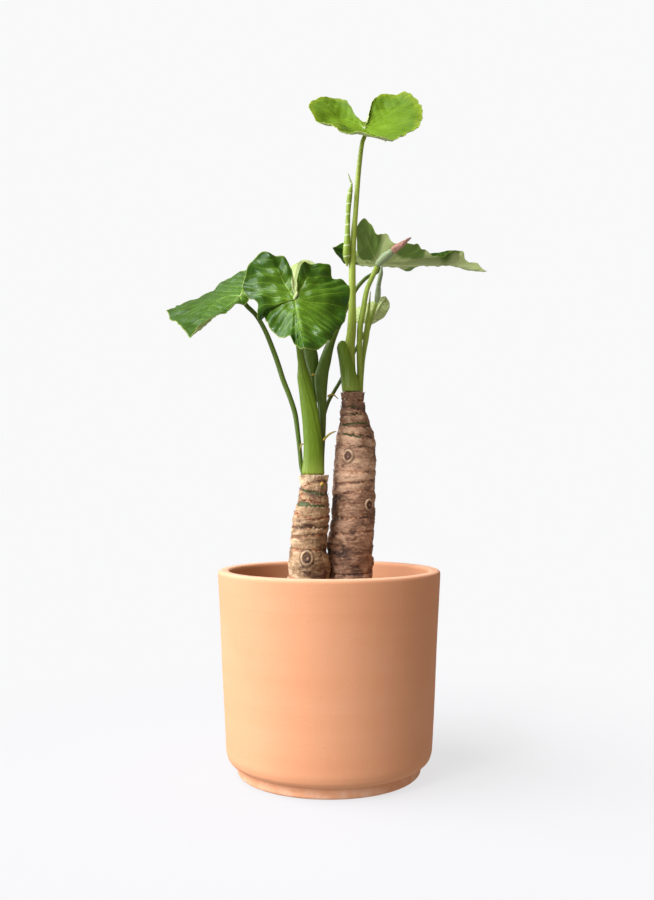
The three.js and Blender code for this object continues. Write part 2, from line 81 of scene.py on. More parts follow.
# Each lamp's name, share of the key strength, width, heading from the front and height, in degrees.
LAMPS = (("Key", 1.0, 75, -70, 40), ("Window", 0.13, 9, -42, 48))
LAMP_COLOUR = (0.97, 1.0, 1.1)

# The light of the surround from the left and from the right.
SURROUND_LEFT = (1.25, 1.25, 1.25)
SURROUND_RIGHT = (0.52, 0.34, 0.23)


# ---- numbers and curves ---------------------------------------------------------------------


def tint(code):
    """A scene-linear colour from a hex code."""
    values = [int(code[k : k + 2], 16) / 255 for k in (0, 2, 4)]
    return tuple(v / 12.92 if v <= 0.04045 else ((v + 0.055) / 1.055) ** 2.4 for v in values)


def unit(vectors):
    """Each vector at a length of one."""
    length = np.linalg.norm(vectors, axis=-1, keepdims=True)
    return vectors / np.maximum(length, 1e-12)


def smooth(low, high, values):
    """0 below `low`, 1 above `high`, and an easy slope between."""
    t = np.clip((values - low) / (high - low), 0, 1)
    return t * t * (3 - 2 * t)


def hump(distance, width):
    """1 at no distance, falling away smoothly; about a third at `width`."""
    return np.exp(-((distance / width) ** 2))


def turned_from(angles, heading):
    """Angles counted from a heading, between minus and plus half a turn."""
    return (angles - heading + math.pi) % TAU - math.pi


def on_ring(angles, radius, *others):
    """Places round a ring, with any other coordinates after the first two."""
    parts = (radius * np.cos(angles), radius * np.sin(angles), *others)
    return np.stack(np.broadcast_arrays(*parts), axis=-1)


def waves(points, wavelength, seed, count=10):
    """A smooth random field over points: sines in seeded directions, about -1 to 1."""
    rng = np.random.default_rng(seed)
    points = np.asarray(points, float)
    wavelength = np.broadcast_to(np.asarray(wavelength, float), points.shape[-1:])
    total = np.zeros(points.shape[:-1])
    for _ in range(count):
        heading = unit(rng.normal(size=points.shape[-1])) * rng.uniform(0.7, 1.4)
        total += np.sin(points @ (TAU * heading / wavelength) + rng.uniform(0, TAU))
    return total / math.sqrt(count)


def cubic(p0, p1, p2, p3, t):
    """A smooth curve from p1 to p2, with p0 and p3 as its neighbours."""
    return 0.5 * (
        2 * p1
        + (p2 - p0) * t
        + (2 * p0 - 5 * p1 + 4 * p2 - p3) * t**2
        + (3 * p1 - p0 - 3 * p2 + p3) * t**3
    )


def round_curve(knots, turns):
    """Points of the closed curve through the knots, at shares of one turn."""
    at = (np.asarray(turns) % 1) * len(knots)
    k = np.floor(at).astype(int)
    return cubic(*(knots[(k + step) % len(knots)] for step in (-1, 0, 1, 2)), (at - k)[:, None])


def open_curve(knots, places):
    """Points of the open curve through the knots, at places counted in knots."""
    last = len(knots) - 1
    k = np.clip(np.floor(places).astype(int), 0, last - 1)
    t = (np.asarray(places) - k)[:, None]
    return cubic(*(knots[np.clip(k + step, 0, last)] for step in (-1, 0, 1, 2)), t)


def lengths(points):
    """Distance from the first point along the line to each point."""
    return np.concatenate([[0], np.cumsum(np.linalg.norm(np.diff(points, axis=0), axis=1))])


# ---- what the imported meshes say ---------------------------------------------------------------


def vertex_values(mesh, key):
    """A vertex vector of the whole mesh, one row for each vertex."""
    values = np.zeros(len(mesh.vertices) * 3)
    mesh.vertices.foreach_get(key, values)
    return values.reshape(-1, 3)


class Knots:
    """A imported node's mesh with its doubles merged, and what each point is joined to."""

    def __init__(self, node):
        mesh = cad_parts[node].data
        places = np.round(vertex_values(mesh, "co") * 1e6).astype(np.int64)
        keys, index = np.unique(places, axis=0, return_inverse=True)
        self.points = keys / 1e6
        self.near = [set() for _ in keys]
        index = index.reshape(-1)
        self.faces = [[int(index[v]) for v in face.vertices] for face in mesh.polygons]
        for face in self.faces:
            for a, b in zip(face, face[1:] + face[:1]):
                if a != b:
                    self.near[a].add(b)
                    self.near[b].add(a)

    def rows(self, start):
        """The points sorted by how many edges they are from the start."""
        steps = {start: 0}
        queue = [start]
        for point in queue:
            for other in sorted(self.near[point]):
                if other not in steps:
                    steps[other] = steps[point] + 1
                    queue.append(other)
        rows = [[] for _ in range(max(steps.values()) + 1)]
        for point, step in steps.items():
            rows[step].append(point)
        return rows

    def cycle(self, row):
        """The places of one row's points, in order round it."""
        members = set(row)
        order = [min(row)]
        seen = set(order)
        while True:
            onward = sorted(k for k in self.near[order[-1]] if k in members and k not in seen)
            if not onward:
                return self.points[order]
            order.append(onward[0])
            seen.add(onward[0])


class Blade:
    """The sheet that a packed leaf blade follows, from the stalk's tip to the margin."""

    def __init__(self, node, stalk):
        knots = Knots(node)
        poles = sorted(range(len(knots.near)), key=lambda k: -len(knots.near[k]))[:2]
        stalk_points = Knots(stalk).points
        gaps = [np.linalg.norm(stalk_points - knots.points[k], axis=1).min() for k in poles]
        top, under = (poles[0], poles[1]) if gaps[0] > gaps[1] else (poles[1], poles[0])
        self.root = knots.points[top]
        rows = knots.rows(top)
        count = len(rows) // 2 - 1
        rings = [knots.cycle(row) - self.root for row in rows[1 : count + 1]]
        facing = self.root - knots.points[under]
        inner, margin = rings[0], rings[-1]
        notch = np.linalg.norm(margin, axis=1).argmin()
        margin = np.roll(margin, -notch, axis=0)
        if np.cross(margin, np.roll(margin, -1, axis=0)).sum(axis=0) @ facing < 0:
            margin = np.roll(margin[::-1], 1, axis=0)
        if np.cross(inner, np.roll(inner, -1, axis=0)).sum(axis=0) @ facing < 0:
            inner = inner[::-1]
        shifts = [(unit(np.roll(inner, k, axis=0)) * unit(margin)).sum() for k in range(len(margin))]
        inner = np.roll(inner, int(np.argmax(shifts)), axis=0)
        bends = margin - count * inner
        bends *= np.sign(bends @ facing)[:, None]
        self.normal = unit(bends.sum(axis=0))
        if self.normal @ facing < 0:
            self.normal = -self.normal
        lifts = margin @ self.normal
        high = np.abs(lifts) > 0.4 * np.abs(lifts).max()
        ratio = np.clip((inner @ self.normal)[high] / lifts[high], 0.02, 0.9)
        self.curl = float(np.median(np.log(ratio) / math.log(1 / count)))
        self.margin = margin

    def set_axes(self, tip):
        """Turns the leaf's own plane so that +Y runs to the margin point nearest the tip."""
        heading = unit(np.array(tip, float))
        reach = np.linalg.norm(self.margin, axis=1)
        scores = (unit(self.margin) @ heading) + 0.15 * reach / reach.max()
        edge = self.margin[int(np.argmax(scores))]
        self.along = unit(edge - (edge @ self.normal) * self.normal)
        self.aside = np.cross(self.along, self.normal)

    def flat(self, vectors):
        return np.stack([vectors @ self.aside, vectors @ self.along], axis=-1)

    def flat_heading(self, heading):
        """The margin point, in the leaf's plane, nearest to a heading in space."""
        heading = unit(np.array(heading, float))
        return self.flat(self.margin[int(np.argmax(unit(self.margin) @ heading))])


class Stalk:
    """The centre line and girth of a packed stalk, recovered ring by ring."""

    def __init__(self, node, upright=True):
        knots = Knots(node)
        first = knots.rows(0)[-1][0]
        second = knots.rows(first)[-1][0]
        if upright and knots.points[first][2] > knots.points[second][2]:
            first, second = second, first
        rings = [knots.cycle(row) for row in knots.rows(first)[1:-1]]
        spread = [np.linalg.norm(r - r.mean(axis=0), axis=1).mean() for r in rings]
        if not upright and spread[1] < spread[-2]:
            rings = rings[::-1]
        self.centres = np.array([ring.mean(axis=0) for ring in rings])
        self.across, self.over = [], []
        heading = None
        for k, ring in enumerate(rings):
            spokes = ring - self.centres[k]
            tangent = self.centres[min(k + 1, len(rings) - 1)] - self.centres[max(k - 1, 0)]
            if np.cross(spokes, np.roll(spokes, -1, axis=0)).sum(axis=0) @ tangent < 0:
                spokes = spokes[::-1]
            if heading is not None:
                spokes = np.roll(spokes, -int(np.argmax(unit(spokes) @ heading)), axis=0)
            heading = unit(spokes[0])
            angles = TAU * np.arange(len(spokes)) / len(spokes)
            grow = 1 / 0.7 if k in (0, len(rings) - 1) else 1
            self.across.append(grow * 2 / len(spokes) * np.cos(angles) @ spokes)
            self.over.append(grow * 2 / len(spokes) * np.sin(angles) @ spokes)
        self.across, self.over = np.array(self.across), np.array(self.over)

    def length(self):
        return lengths(self.centres)[-1]

    def skin(self, rows, sides, start, end):
        """A grid of skin points with its centres, spokes and shares; start and end lengthen it."""
        travel = lengths(self.centres)
        shares = np.linspace(0, 1, rows)
        places = np.interp(shares * travel[-1], travel, np.arange(len(travel)))
        centres = open_curve(self.centres, places)
        across, over = open_curve(self.across, places), open_curve(self.over, places)
        first = unit(centres[0] - centres[2])
        last = unit(centres[-1] - centres[-3])
        centres = centres + first * start * (1 - smooth(0, 0.12, shares))[:, None]
        centres = centres + last * end * smooth(0.88, 1, shares)[:, None]
        angles = TAU * np.arange(sides) / sides
        spokes = (
            across[:, None] * np.cos(angles)[None, :, None]
            + over[:, None] * np.sin(angles)[None, :, None]
        )
        return centres, spokes, shares


# ---- meshes -----------------------------------------------------------------------------------


def grid_faces(rows, columns, start=0, flip=False):
    """Quads between rows of a grid that closes round its columns."""
    k, j = np.meshgrid(np.arange(rows - 1), np.arange(columns), indexing="ij")
    a = start + k * columns + j
    b = start + k * columns + (j + 1) % columns
    faces = np.stack([a, b, b + columns, a + columns], axis=-1).reshape(-1, 4)
    return (faces[:, ::-1] if flip else faces).tolist()


def fan_faces(pole, start, columns, flip=False):
    """Triangles between a pole and a ring."""
    j = np.arange(columns)
    faces = np.stack([np.full(columns, pole), start + (j + 1) % columns, start + j], axis=-1)
    return (faces[:, ::-1] if flip else faces).tolist()


def tube_faces(rows, sides):
    """A closed tube whose two poles, first end and last end, come after its grid of points."""
    count = rows * sides
    first_cap = fan_faces(count, 0, sides)
    last_cap = fan_faces(count + 1, count - sides, sides, flip=True)
    return grid_faces(rows, sides) + first_cap + last_cap


def write_number(mesh, key, values, kind="FLOAT", field="value"):
    """Stores a value for each point, for a finish or a node tree to read."""
    layer = mesh.attributes.new(key, kind, "POINT")
    layer.data.foreach_set(field, np.ascontiguousarray(values, np.float32).ravel())


def add_piece(name, points, faces, finish, numbers=None, plane=None):
    """A smooth mesh object at the origin, with a finish, named numbers and a flat map."""
    mesh = bpy.data.meshes.new(name)
    mesh.from_pydata(np.asarray(points).tolist(), [], faces)
    for key, values in (numbers or {}).items():
        write_number(mesh, key, values)
    if plane is not None:
        loops = np.zeros(len(mesh.loops), np.int32)
        mesh.loops.foreach_get("vertex_index", loops)
        layer = mesh.uv_layers.new(name="plane")
        layer.data.foreach_set("uv", np.ascontiguousarray(plane[loops], np.float32).ravel())
    mesh.polygons.foreach_set("use_smooth", [True] * len(mesh.polygons))
    mesh.materials.append(finish)
    mesh.update()
    piece = bpy.data.objects.new(name, mesh)
    bpy.context.scene.collection.objects.link(piece)
    return piece


def settle(piece, node):
    """Says what the piece rides on and which node it replaces."""
    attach(piece, "root")
    if node:
        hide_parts(node)


def apply_modifiers(piece):
    """Turns the piece and its modifiers into one plain mesh."""
    graph = bpy.context.evaluated_depsgraph_get()
    mesh = bpy.data.meshes.new_from_object(piece.evaluated_get(graph), depsgraph=graph)
    piece.modifiers.clear()
    piece.data = mesh
    mesh.polygons.foreach_set("use_smooth", [True] * len(mesh.polygons))


# ---- finishes ---------------------------------------------------------------------------------


class Wire:
    """A socket that Python arithmetic turns into Math nodes."""

    def __init__(self, finish, socket):
        self.finish, self.socket = finish, socket

    def math(self, operation, *others, clamp=False):
        return self.finish.node(
            "ShaderNodeMath", {"operation": operation, "use_clamp": clamp}, (self, *others)
        )

    def __add__(self, other):
        return self.math("ADD", other)

    def __sub__(self, other):
        return self.math("SUBTRACT", other)

    def __rsub__(self, other):
        return self.finish.node("ShaderNodeMath", {"operation": "SUBTRACT"}, (other, self))

    def __mul__(self, other):
        return self.math("MULTIPLY", other)

    __radd__, __rmul__ = __add__, __mul__

    def size(self):
        return self.math("ABSOLUTE")

    def clamped(self):
        return self.math("ADD", 0.0, clamp=True)

    def to_whole(self):
        """Distance to the nearest whole number."""
        return (self - self.math("ROUND")).size()

    def rise(self, low, high):
        """0 below `low`, 1 above `high`, smooth between."""
        settings = {"interpolation_type": "SMOOTHSTEP"}
        if low < high:
            return self.finish.node("ShaderNodeMapRange", settings, (self, low, high, 0.0, 1.0))
        return self.finish.node("ShaderNodeMapRange", settings, (self, high, low, 1.0, 0.0))


class Finish:
    """One procedural material, or the world's, built from wires."""

    def __init__(self, name, world=False):
        self.material = (bpy.data.worlds if world else bpy.data.materials).new(name)
        self.material.use_nodes = True
        self.tree = self.material.node_tree
        self.tree.nodes.clear()

    def node(self, kind, settings=None, values=(), output=0):
        """Any node: its settings first, then the values or links of its sockets."""
        made = self.tree.nodes.new(kind)
        for key, value in (settings or {}).items():
            setattr(made, key, value)
        pairs = values.items() if isinstance(values, dict) else enumerate(values)
        for key, value in pairs:
            self.join(made.inputs[key], value)
        return Wire(self, made.outputs[output])

    def join(self, socket, value):
        if isinstance(value, Wire):
            self.tree.links.new(value.socket, socket)
        elif socket.type == "RGBA":
            socket.default_value = (*value, 1.0)[:4]
        else:
            socket.default_value = value

    def place(self):
        return self.node("ShaderNodeTexCoord", output="Object")

    def plane(self):
        return self.node("ShaderNodeUVMap", {"uv_map": "plane"})

    def number(self, name):
        return self.node("ShaderNodeAttribute", {"attribute_name": name}, output="Fac")

    def stretched(self, where, scale):
        return self.node("ShaderNodeVectorMath", {"operation": "MULTIPLY"}, (where, tuple(scale)))

    def axis(self, where, name):
        return self.node("ShaderNodeSeparateXYZ", {}, (where,), output=name)

    def noise(self, where, scale, detail=3.0, rough=0.55, warp=0.0):
        values = {"Vector": where, "Scale": scale, "Detail": detail, "Roughness": rough}
        values["Distortion"] = warp
        return self.node("ShaderNodeTexNoise", {}, values, output="Fac")

    def cells(self, where, scale, output="Distance"):
        values = {"Vector": where, "Scale": scale}
        return self.node("ShaderNodeTexVoronoi", {}, values, output=output)

    def length(self, vector):
        return self.node("ShaderNodeVectorMath", {"operation": "LENGTH"}, (vector,), output="Value")

    def mix(self, share, first, second):
        values = {0: share, 6: first, 7: second}
        return self.node("ShaderNodeMix", {"data_type": "RGBA"}, values, output=2)

    def tones(self, share, *colours):
        """A blend through several colours at even steps."""
        made = self.tree.nodes.new("ShaderNodeValToRGB")
        stops = made.color_ramp.elements
        while len(stops) < len(colours):
            stops.new(0.5)
        for k, colour in enumerate(colours):
            stops[k].position = k / (len(colours) - 1)
            stops[k].color = (*colour, 1.0)
        self.join(made.inputs[0], share)
        return Wire(self, made.outputs[0])

    def bump(self, height, distance, strength=1.0):
        values = {"Height": height, "Distance": distance, "Strength": strength}
        return self.node("ShaderNodeBump", {}, values)

    def shade(self, **values):
        """The surface shader; a socket's name has underscores for its spaces."""
        sockets = {key.replace("_", " "): value for key, value in values.items()}
        return self.show(self.node("ShaderNodeBsdfPrincipled", {}, sockets))

    def show(self, shader, output="ShaderNodeOutputMaterial"):
        self.join(self.tree.nodes.new(output).inputs[0], shader)
        return self.material



def clay_finish(look):
    """Fired clay: faint bands and clouds, pits, scuffs, and chalk at the lip and foot."""
    f = Finish("Terracotta clay")
    where = f.place()
    height = f.axis(where, "Z")
    bands = f.noise(f.stretched(where, (3, 3, 34)), 1.0, 2, 0.5)
    clouds = f.noise(where, 9, 4, 0.6)
    grain = f.noise(where, 420, 3, 0.6)
    share = (bands * 0.45 + clouds * 0.5 + 0.02).clamped()
    colour = f.tones(share, look.clay_deep, look.clay, look.clay_pale)
    colour = f.mix(grain.rise(0.45, 0.75) * 0.22, colour, look.clay_pale)
    specks = f.cells(where, 210).rise(0.13, 0.05) * f.noise(where, 35, 2).rise(0.5, 0.62)
    colour = f.mix(specks * 0.55, colour, look.speck)
    drift = f.noise(f.stretched(where, (40, 40, 7)), 1.0, 3, 0.6, 1.0)
    chalk = drift.rise(0.69, 0.74) * f.noise(where, 22, 2).rise(0.55, 0.66)
    colour = f.mix(chalk * 0.6, colour, look.chalk)
    for spot in SCUFFS:
        away = f.node("ShaderNodeVectorMath", {"operation": "SUBTRACT"}, (where, spot))
        away = f.length(f.stretched(away, (620, 620, 150)))
        broken = f.noise(f.stretched(where, (700, 700, 260)), 1.0, 2)
        colour = f.mix((away + broken * 0.9).rise(1.6, 0.8) * 0.85, colour, look.chalk)
    foot = height.rise(0.016, 0.004) * f.noise(where, 55, 4).rise(0.35, 0.7)
    colour = f.mix(foot * 0.35, colour, look.chalk)
    lip = height.rise(POT_TOP - 3 * MM, POT_TOP + 0.5 * MM)
    colour = f.mix(lip * 0.25, colour, look.chalk)
    lines = f.noise(f.stretched(where, (6, 6, 900)), 1.0, 2, 0.5)
    relief = lines * 0.12 + grain * 0.5 - specks * 1.6 + f.noise(where, 120, 3) * 0.4
    normal = f.bump(relief, 0.4 * MM, 0.5)
    rough = 0.78 + grain * 0.14
    return f.shade(Base_Color=colour, Roughness=rough, Normal=normal, Specular_IOR_Level=0.5)


def soil_finish(look):
    """Dark, fibrous mix with paler bits."""
    f = Finish("Potting mix")
    where = f.place()
    lumps = f.noise(where, 90, 5, 0.65)
    fibre = f.noise(f.stretched(where, (240, 60, 120)), 1.0, 3, 0.6, 1.5)
    share = (lumps * 0.8 + fibre * 0.5 - 0.15).clamped()
    colour = f.tones(share, look.soil_dark, look.soil, look.bark_bit)
    normal = f.bump(lumps + fibre * 0.5, 1.5 * MM)
    return f.shade(Base_Color=colour, Roughness=0.93 + lumps * 0.05, Normal=normal)


def crumb_finish(name, dark, light, rough):
    """Loose bits, each with its own shade between dark and light."""
    f = Finish(name)
    where = f.place()
    spots = f.noise(where, 130, 4, 0.6)
    tone = f.cells(where, 75, output="Color")
    share = (spots * 0.7 + f.axis(tone, "X") * 0.5 - 0.1).clamped()
    colour = f.mix(share, dark, light)
    normal = f.bump(f.noise(where, 900, 3), 0.4 * MM)
    return f.shade(Base_Color=colour, Roughness=rough + spots * 0.1, Normal=normal)


def mesh_finish(look):
    """The woven plastic screen over the drain hole."""
    f = Finish("Drain mesh")
    where = f.place()
    threads = f.stretched(where, (900, 900, 900))
    weave = f.axis(threads, "X").math("SINE") * f.axis(threads, "Y").math("SINE")
    colour = f.mix(f.noise(where, 90, 3), look.mesh, look.stone_dark)
    rough = 0.55 + f.noise(where, 300, 2) * 0.2
    return f.shade(Base_Color=colour, Roughness=rough, Normal=f.bump(weave, 0.3 * MM))


def bud_finish(flower, bark):
    """Green at the bud's foot, then straw, with a rusty tip."""
    f = Finish("Side bud")
    where = f.place()
    height = f.number("share")
    straw = (height + f.noise(where, 320, 2) * 0.5 - 0.2).rise(0.3, 0.55)
    colour = f.mix(straw, bark.slit, flower.straw)
    colour = f.mix(height.rise(0.75, 1.0) * 0.6, colour, bark.rust)
    rough = 0.4 + f.noise(where, 500, 2) * 0.2
    normal = f.bump(f.noise(where, 900, 2), 0.3 * MM)
    return f.shade(Base_Color=colour, Roughness=rough, Normal=normal)


def bark_finish(name, look, shades, rust):
    """Papery bands: each takes its own shade, with fibres, dark seams, eyes and green slits."""
    f = Finish(name)
    where = f.place()
    wrap, seam = f.number("wrap"), f.number("seam")
    eye, green = f.number("eye"), f.number("green")
    fibre = f.noise(f.stretched(where, (55, 55, 260)), 1.0, 4, 0.6, 0.6)
    blotch = f.noise(f.stretched(where, (34, 34, 52)), 1.0, 3, 0.5, 0.8)
    fine = f.noise(where, 520, 3, 0.6)
    clouds = f.noise(f.stretched(where, (62, 62, 130)), 1.0, 4, 0.62, 1.8)
    shade = (wrap * 0.6 + blotch * 1.9 + clouds * 1.1 + fibre * 0.25 - 1.4).clamped()
    colour = f.tones(shade, *shades)
    flakes = f.noise(f.stretched(where, (120, 120, 260)), 1.0, 3, 0.6, 1.2)
    colour = f.mix(flakes.rise(0.55, 0.68) * 0.35, colour, look.paper)
    colour = f.mix(flakes.rise(0.42, 0.3) * 0.4, colour, look.crevice)
    colour = f.mix(clouds.rise(0.38, 0.3) * 0.5, colour, shades[0])
    colour = f.mix(seam.rise(3.6, 0.6) * blotch.rise(0.4, 0.62) * rust, colour, look.rust)
    colour = f.mix(seam.rise(2.6, 0.3) * clouds.rise(0.54, 0.42) * 0.7, colour, look.crevice)
    colour = f.mix(green.rise(0.35, 0.7), colour, f.mix(fibre, look.slit_dark, look.slit))
    eye = eye + clouds * 0.25 - 0.12
    colour = f.mix((eye - 0.95).size().rise(0.22, 0.05) * 0.35, colour, look.paper)
    colour = f.mix(eye.rise(0.85, 0.6) * 0.85, colour, f.mix(flakes, look.crevice, shades[0]))
    colour = f.mix((eye - 1.25).size().rise(0.16, 0.04) * 0.5, colour, look.crevice)
    colour = f.mix(eye.rise(0.36, 0.1) * 0.6, colour, f.mix(flakes, look.rust, shades[2]))
    relief = fibre * 0.45 + flakes * 0.5 + fine * 0.15 - seam.rise(0.8, 0.2) * 0.8
    normal = f.bump(relief, 0.8 * MM, 0.55)
    rough = 0.62 + blotch * 0.3 - green * 0.2
    return f.shade(Base_Color=colour, Roughness=rough, Normal=normal, Specular_IOR_Level=0.35)


def leaf_finish(name, look, deep, light, vein_tint, rough, coat, vein_share, fringe=0.0):
    """Upper and under sides of a blade. The number `upper` is 1 on the upper side, 0 on the under
    side and between them where the under side takes some of the upper side's green."""
    f = Finish(name)
    plane = f.plane()
    upper, rib, reach = f.number("upper"), f.number("rib"), f.number("reach")
    edge, gap = f.number("edge"), f.number("gap")
    vein = f.number("lateral").to_whole() * gap
    rib_line = rib.rise(1.35, 0.45)
    vein_line = vein.rise(0.6, 0.12) * reach.rise(1.02, 0.75)
    blotch = f.noise(plane, 14, 4, 0.6)
    mottle = f.noise(plane, 38, 3, 0.5)
    middle = vein.rise(0.0, 6.5)
    share = blotch * 1.1 + mottle * 0.16 - 0.42 + reach.rise(1.0, 0.15) * 0.6 - middle * 0.16
    face = f.mix(share.clamped(), deep, light)
    yellow = f.noise(plane, 33, 2, 0.5).rise(0.66, 0.74) * reach.rise(0.95, 0.3)
    face = f.mix(yellow * 0.45, face, look.yellow)
    if fringe:
        face = f.mix(edge.rise(13.0, 1.0) * mottle.rise(0.3, 0.6) * fringe, face, look.yellow)
    face = f.mix(vein_line * vein_share, face, vein_tint)
    face = f.mix(rib_line * 0.8, face, vein_tint)
    face = f.mix(edge.rise(1.3, 0.2) * 0.65, face, look.rim)
    back = f.mix((blotch * 0.9 + mottle * 0.4 - 0.25).clamped(), look.under, look.under_light)
    back = f.mix(vein_line * 0.45, back, look.under_vein)
    back = f.mix(rib.rise(2.4, 0.9) * 0.75, back, look.under_vein)
    back = f.mix(edge.rise(1.3, 0.2) * 0.5, back, look.rim)
    side = upper.rise(0.0, 1.0)
    face = f.mix(upper.rise(1.0, 0.95) * 0.55, face, look.twist)
    relief = mottle * 0.06 - vein_line * 0.7 - rib_line * 0.4
    normal = f.bump(relief, 0.3 * MM, 0.4)
    under_rough = 0.56
    roughness = under_rough - side * (under_rough - rough) + blotch * 0.1 + mottle * 0.05
    return f.shade(
        Base_Color=f.mix(side, back, face),
        Roughness=roughness,
        Normal=normal,
        Coat_Weight=side * coat,
        Coat_Roughness=0.13,
        Specular_IOR_Level=0.08,
    )


def stalk_finish(name, base, light, streak, rough=0.34, pale_foot=0.0, mark=None):
    """A glossy stalk with fine streaks along it; `along` counts millimetres from its foot.
    `pale_foot` is how far up its foot is pale, and `mark` the colour of marks across it."""
    f = Finish(name)
    where = f.place()
    along, turn = f.number("along"), f.number("turn")
    lanes = f.node("ShaderNodeCombineXYZ", {}, (turn * 9.0, along * 0.012, 0.0))
    streaks = f.noise(lanes, 6.0, 4, 0.6)
    clouds = f.noise(where, 26, 3, 0.5)
    colour = f.mix((streaks * 0.8 + clouds * 0.7 - 0.25).clamped(), base, light)
    colour = f.mix(streaks.rise(0.5, 0.72) * 0.2, colour, streak)
    if pale_foot:
        colour = f.mix(along.rise(pale_foot, 0.0) * 0.4, colour, streak)
    if mark:
        marks_in_a_millimetre = 0.0794
        rings = (along * marks_in_a_millimetre + turn * 0.12).to_whole().rise(0.085, 0.03)
        colour = f.mix(rings * streaks.rise(0.3, 0.5) * 0.75, colour, mark)
    relief = streaks * 0.8 + f.noise(where, 260, 2) * 0.2
    return f.shade(
        Base_Color=colour,
        Roughness=rough + clouds * 0.1,
        Normal=f.bump(relief, 0.4 * MM, 0.45),
        Coat_Weight=0.06,
        Specular_IOR_Level=0.25,
    )


def dry_finish(name, dark, light, tip, spread):
    """Withered tissue that darkens from foot to tip."""
    f = Finish(name)
    where = f.place()
    share = f.number("share")
    lanes = f.node("ShaderNodeCombineXYZ", {}, (f.number("turn") * 7.0, share * spread, 0.0))
    wrinkles = f.noise(lanes, 4.0, 4, 0.65, 0.6)
    clouds = f.noise(where, 160, 3)
    colour = f.mix((wrinkles * 1.1 + clouds * 0.4 - 0.3).clamped(), dark, light)
    colour = f.mix(share.rise(0.7, 1.0) * 0.8, colour, tip)
    normal = f.bump(wrinkles, 0.7 * MM, 0.8)
    return f.shade(Base_Color=colour, Roughness=0.6 + wrinkles * 0.2, Normal=normal)


class Garden:
    """One Geometry Nodes tree, built from sockets."""

    def __init__(self, name, sizes):
        self.tree = bpy.data.node_groups.new(name, "GeometryNodeTree")
        self.keys = {}
        port = self.tree.interface.new_socket
        port("Geometry", in_out="INPUT", socket_type="NodeSocketGeometry")
        for label, (kind, value) in sizes.items():
            made = port(label, in_out="INPUT", socket_type=kind)
            if value is not None:
                made.default_value = value
            self.keys[label] = made.identifier
        port("Geometry", in_out="OUTPUT", socket_type="NodeSocketGeometry")
        self.inputs = self.tree.nodes.new("NodeGroupInput")

    def given(self, label):
        return self.inputs.outputs[label]

    def node(self, kind, settings=None, values=None, output=0):
        made = self.tree.nodes.new(kind)
        for key, value in (settings or {}).items():
            setattr(made, key, value)
        for key, value in (values or {}).items():
            if isinstance(value, bpy.types.NodeSocket):
                self.tree.links.new(value, made.inputs[key])
            else:
                made.inputs[key].default_value = value
        return made.outputs[output]

    def math(self, operation, *values):
        return self.node("ShaderNodeMath", {"operation": operation}, dict(enumerate(values)))

    def scaled(self, vector, size):
        values = {0: vector, "Scale": size}
        return self.node("ShaderNodeVectorMath", {"operation": "SCALE"}, values)

    def moved(self, geometry, key, places):
        values = {"Geometry": geometry, key: places}
        return self.node("GeometryNodeSetPosition", {}, values)

    def placed(self, points, piece, turn, size):
        values = {"Points": points, "Instance": piece, "Rotation": turn, "Scale": size}
        return self.node("GeometryNodeInstanceOnPoints", {}, values)

    def random(self, low, high, seed, kind="FLOAT"):
        first, last, out = {"FLOAT": (2, 3, 1), "FLOAT_VECTOR": (0, 1, 0)}[kind]
        values = {first: low, last: high, "Seed": seed}
        return self.node("FunctionNodeRandomValue", {"data_type": kind}, values, out)

    def end(self, geometry):
        """Realize Instances, Set Material and the output."""
        whole = self.node("GeometryNodeRealizeInstances", {}, {"Geometry": geometry})
        values = {"Geometry": whole, "Material": self.given("Material")}
        shown = self.node("GeometryNodeSetMaterial", {}, values)
        self.tree.links.new(shown, self.tree.nodes.new("NodeGroupOutput").inputs[0])

    def grow_on(self, piece, **values):
        """Runs the tree on a piece, which becomes the plain mesh that it makes."""
        modifier = piece.modifiers.new("Grow", "NODES")
        modifier.node_group = self.tree
        for label, value in values.items():
            modifier[self.keys[label]] = value
        apply_modifiers(piece)


def lump_garden():
    """Irregular lumps over faces: crumbs of soil and pebbles."""
    sizes = {
        "Density": ("NodeSocketFloat", 4000.0),
        "Spacing": ("NodeSocketFloat", 0.004),
        "Smallest": ("NodeSocketFloat", 0.001),
        "Largest": ("NodeSocketFloat", 0.003),
        "Roughness": ("NodeSocketFloat", 0.0008),
        "Detail": ("NodeSocketInt", 2),
        "Seed": ("NodeSocketInt", 1),
        "Material": ("NodeSocketMaterial", None),
    }
    g = Garden("Scatter lumps", sizes)
    seed = g.given("Seed")
    spread = {"Mesh": g.given("Geometry"), "Distance Min": g.given("Spacing"), "Seed": seed}
    spread["Density Max"] = g.given("Density")
    way = {"distribute_method": "POISSON"}
    points = g.node("GeometryNodeDistributePointsOnFaces", way, spread)
    ball = {"Radius": 1.0, "Subdivisions": g.given("Detail")}
    lump = g.node("GeometryNodeMeshIcoSphere", {}, ball)
    size = g.random(g.given("Smallest"), g.given("Largest"), seed)
    squash = g.random((0.7, 0.7, 0.5), (1.2, 1.0, 0.8), seed, "FLOAT_VECTOR")
    turn = g.random((0.0, 0.0, 0.0), (TAU, TAU, TAU), seed, "FLOAT_VECTOR")
    placed = g.placed(points, lump, turn, g.scaled(squash, size))
    whole = g.node("GeometryNodeRealizeInstances", {}, {"Geometry": placed})
    noise = g.node("ShaderNodeTexNoise", {}, {"Scale": 260.0, "Detail": 1.0}, "Color")
    middle = {0: noise, 1: (0.5, 0.5, 0.5)}
    centred = g.node("ShaderNodeVectorMath", {"operation": "SUBTRACT"}, middle)
    g.end(g.moved(whole, "Offset", g.scaled(centred, g.given("Roughness"))))
    return g


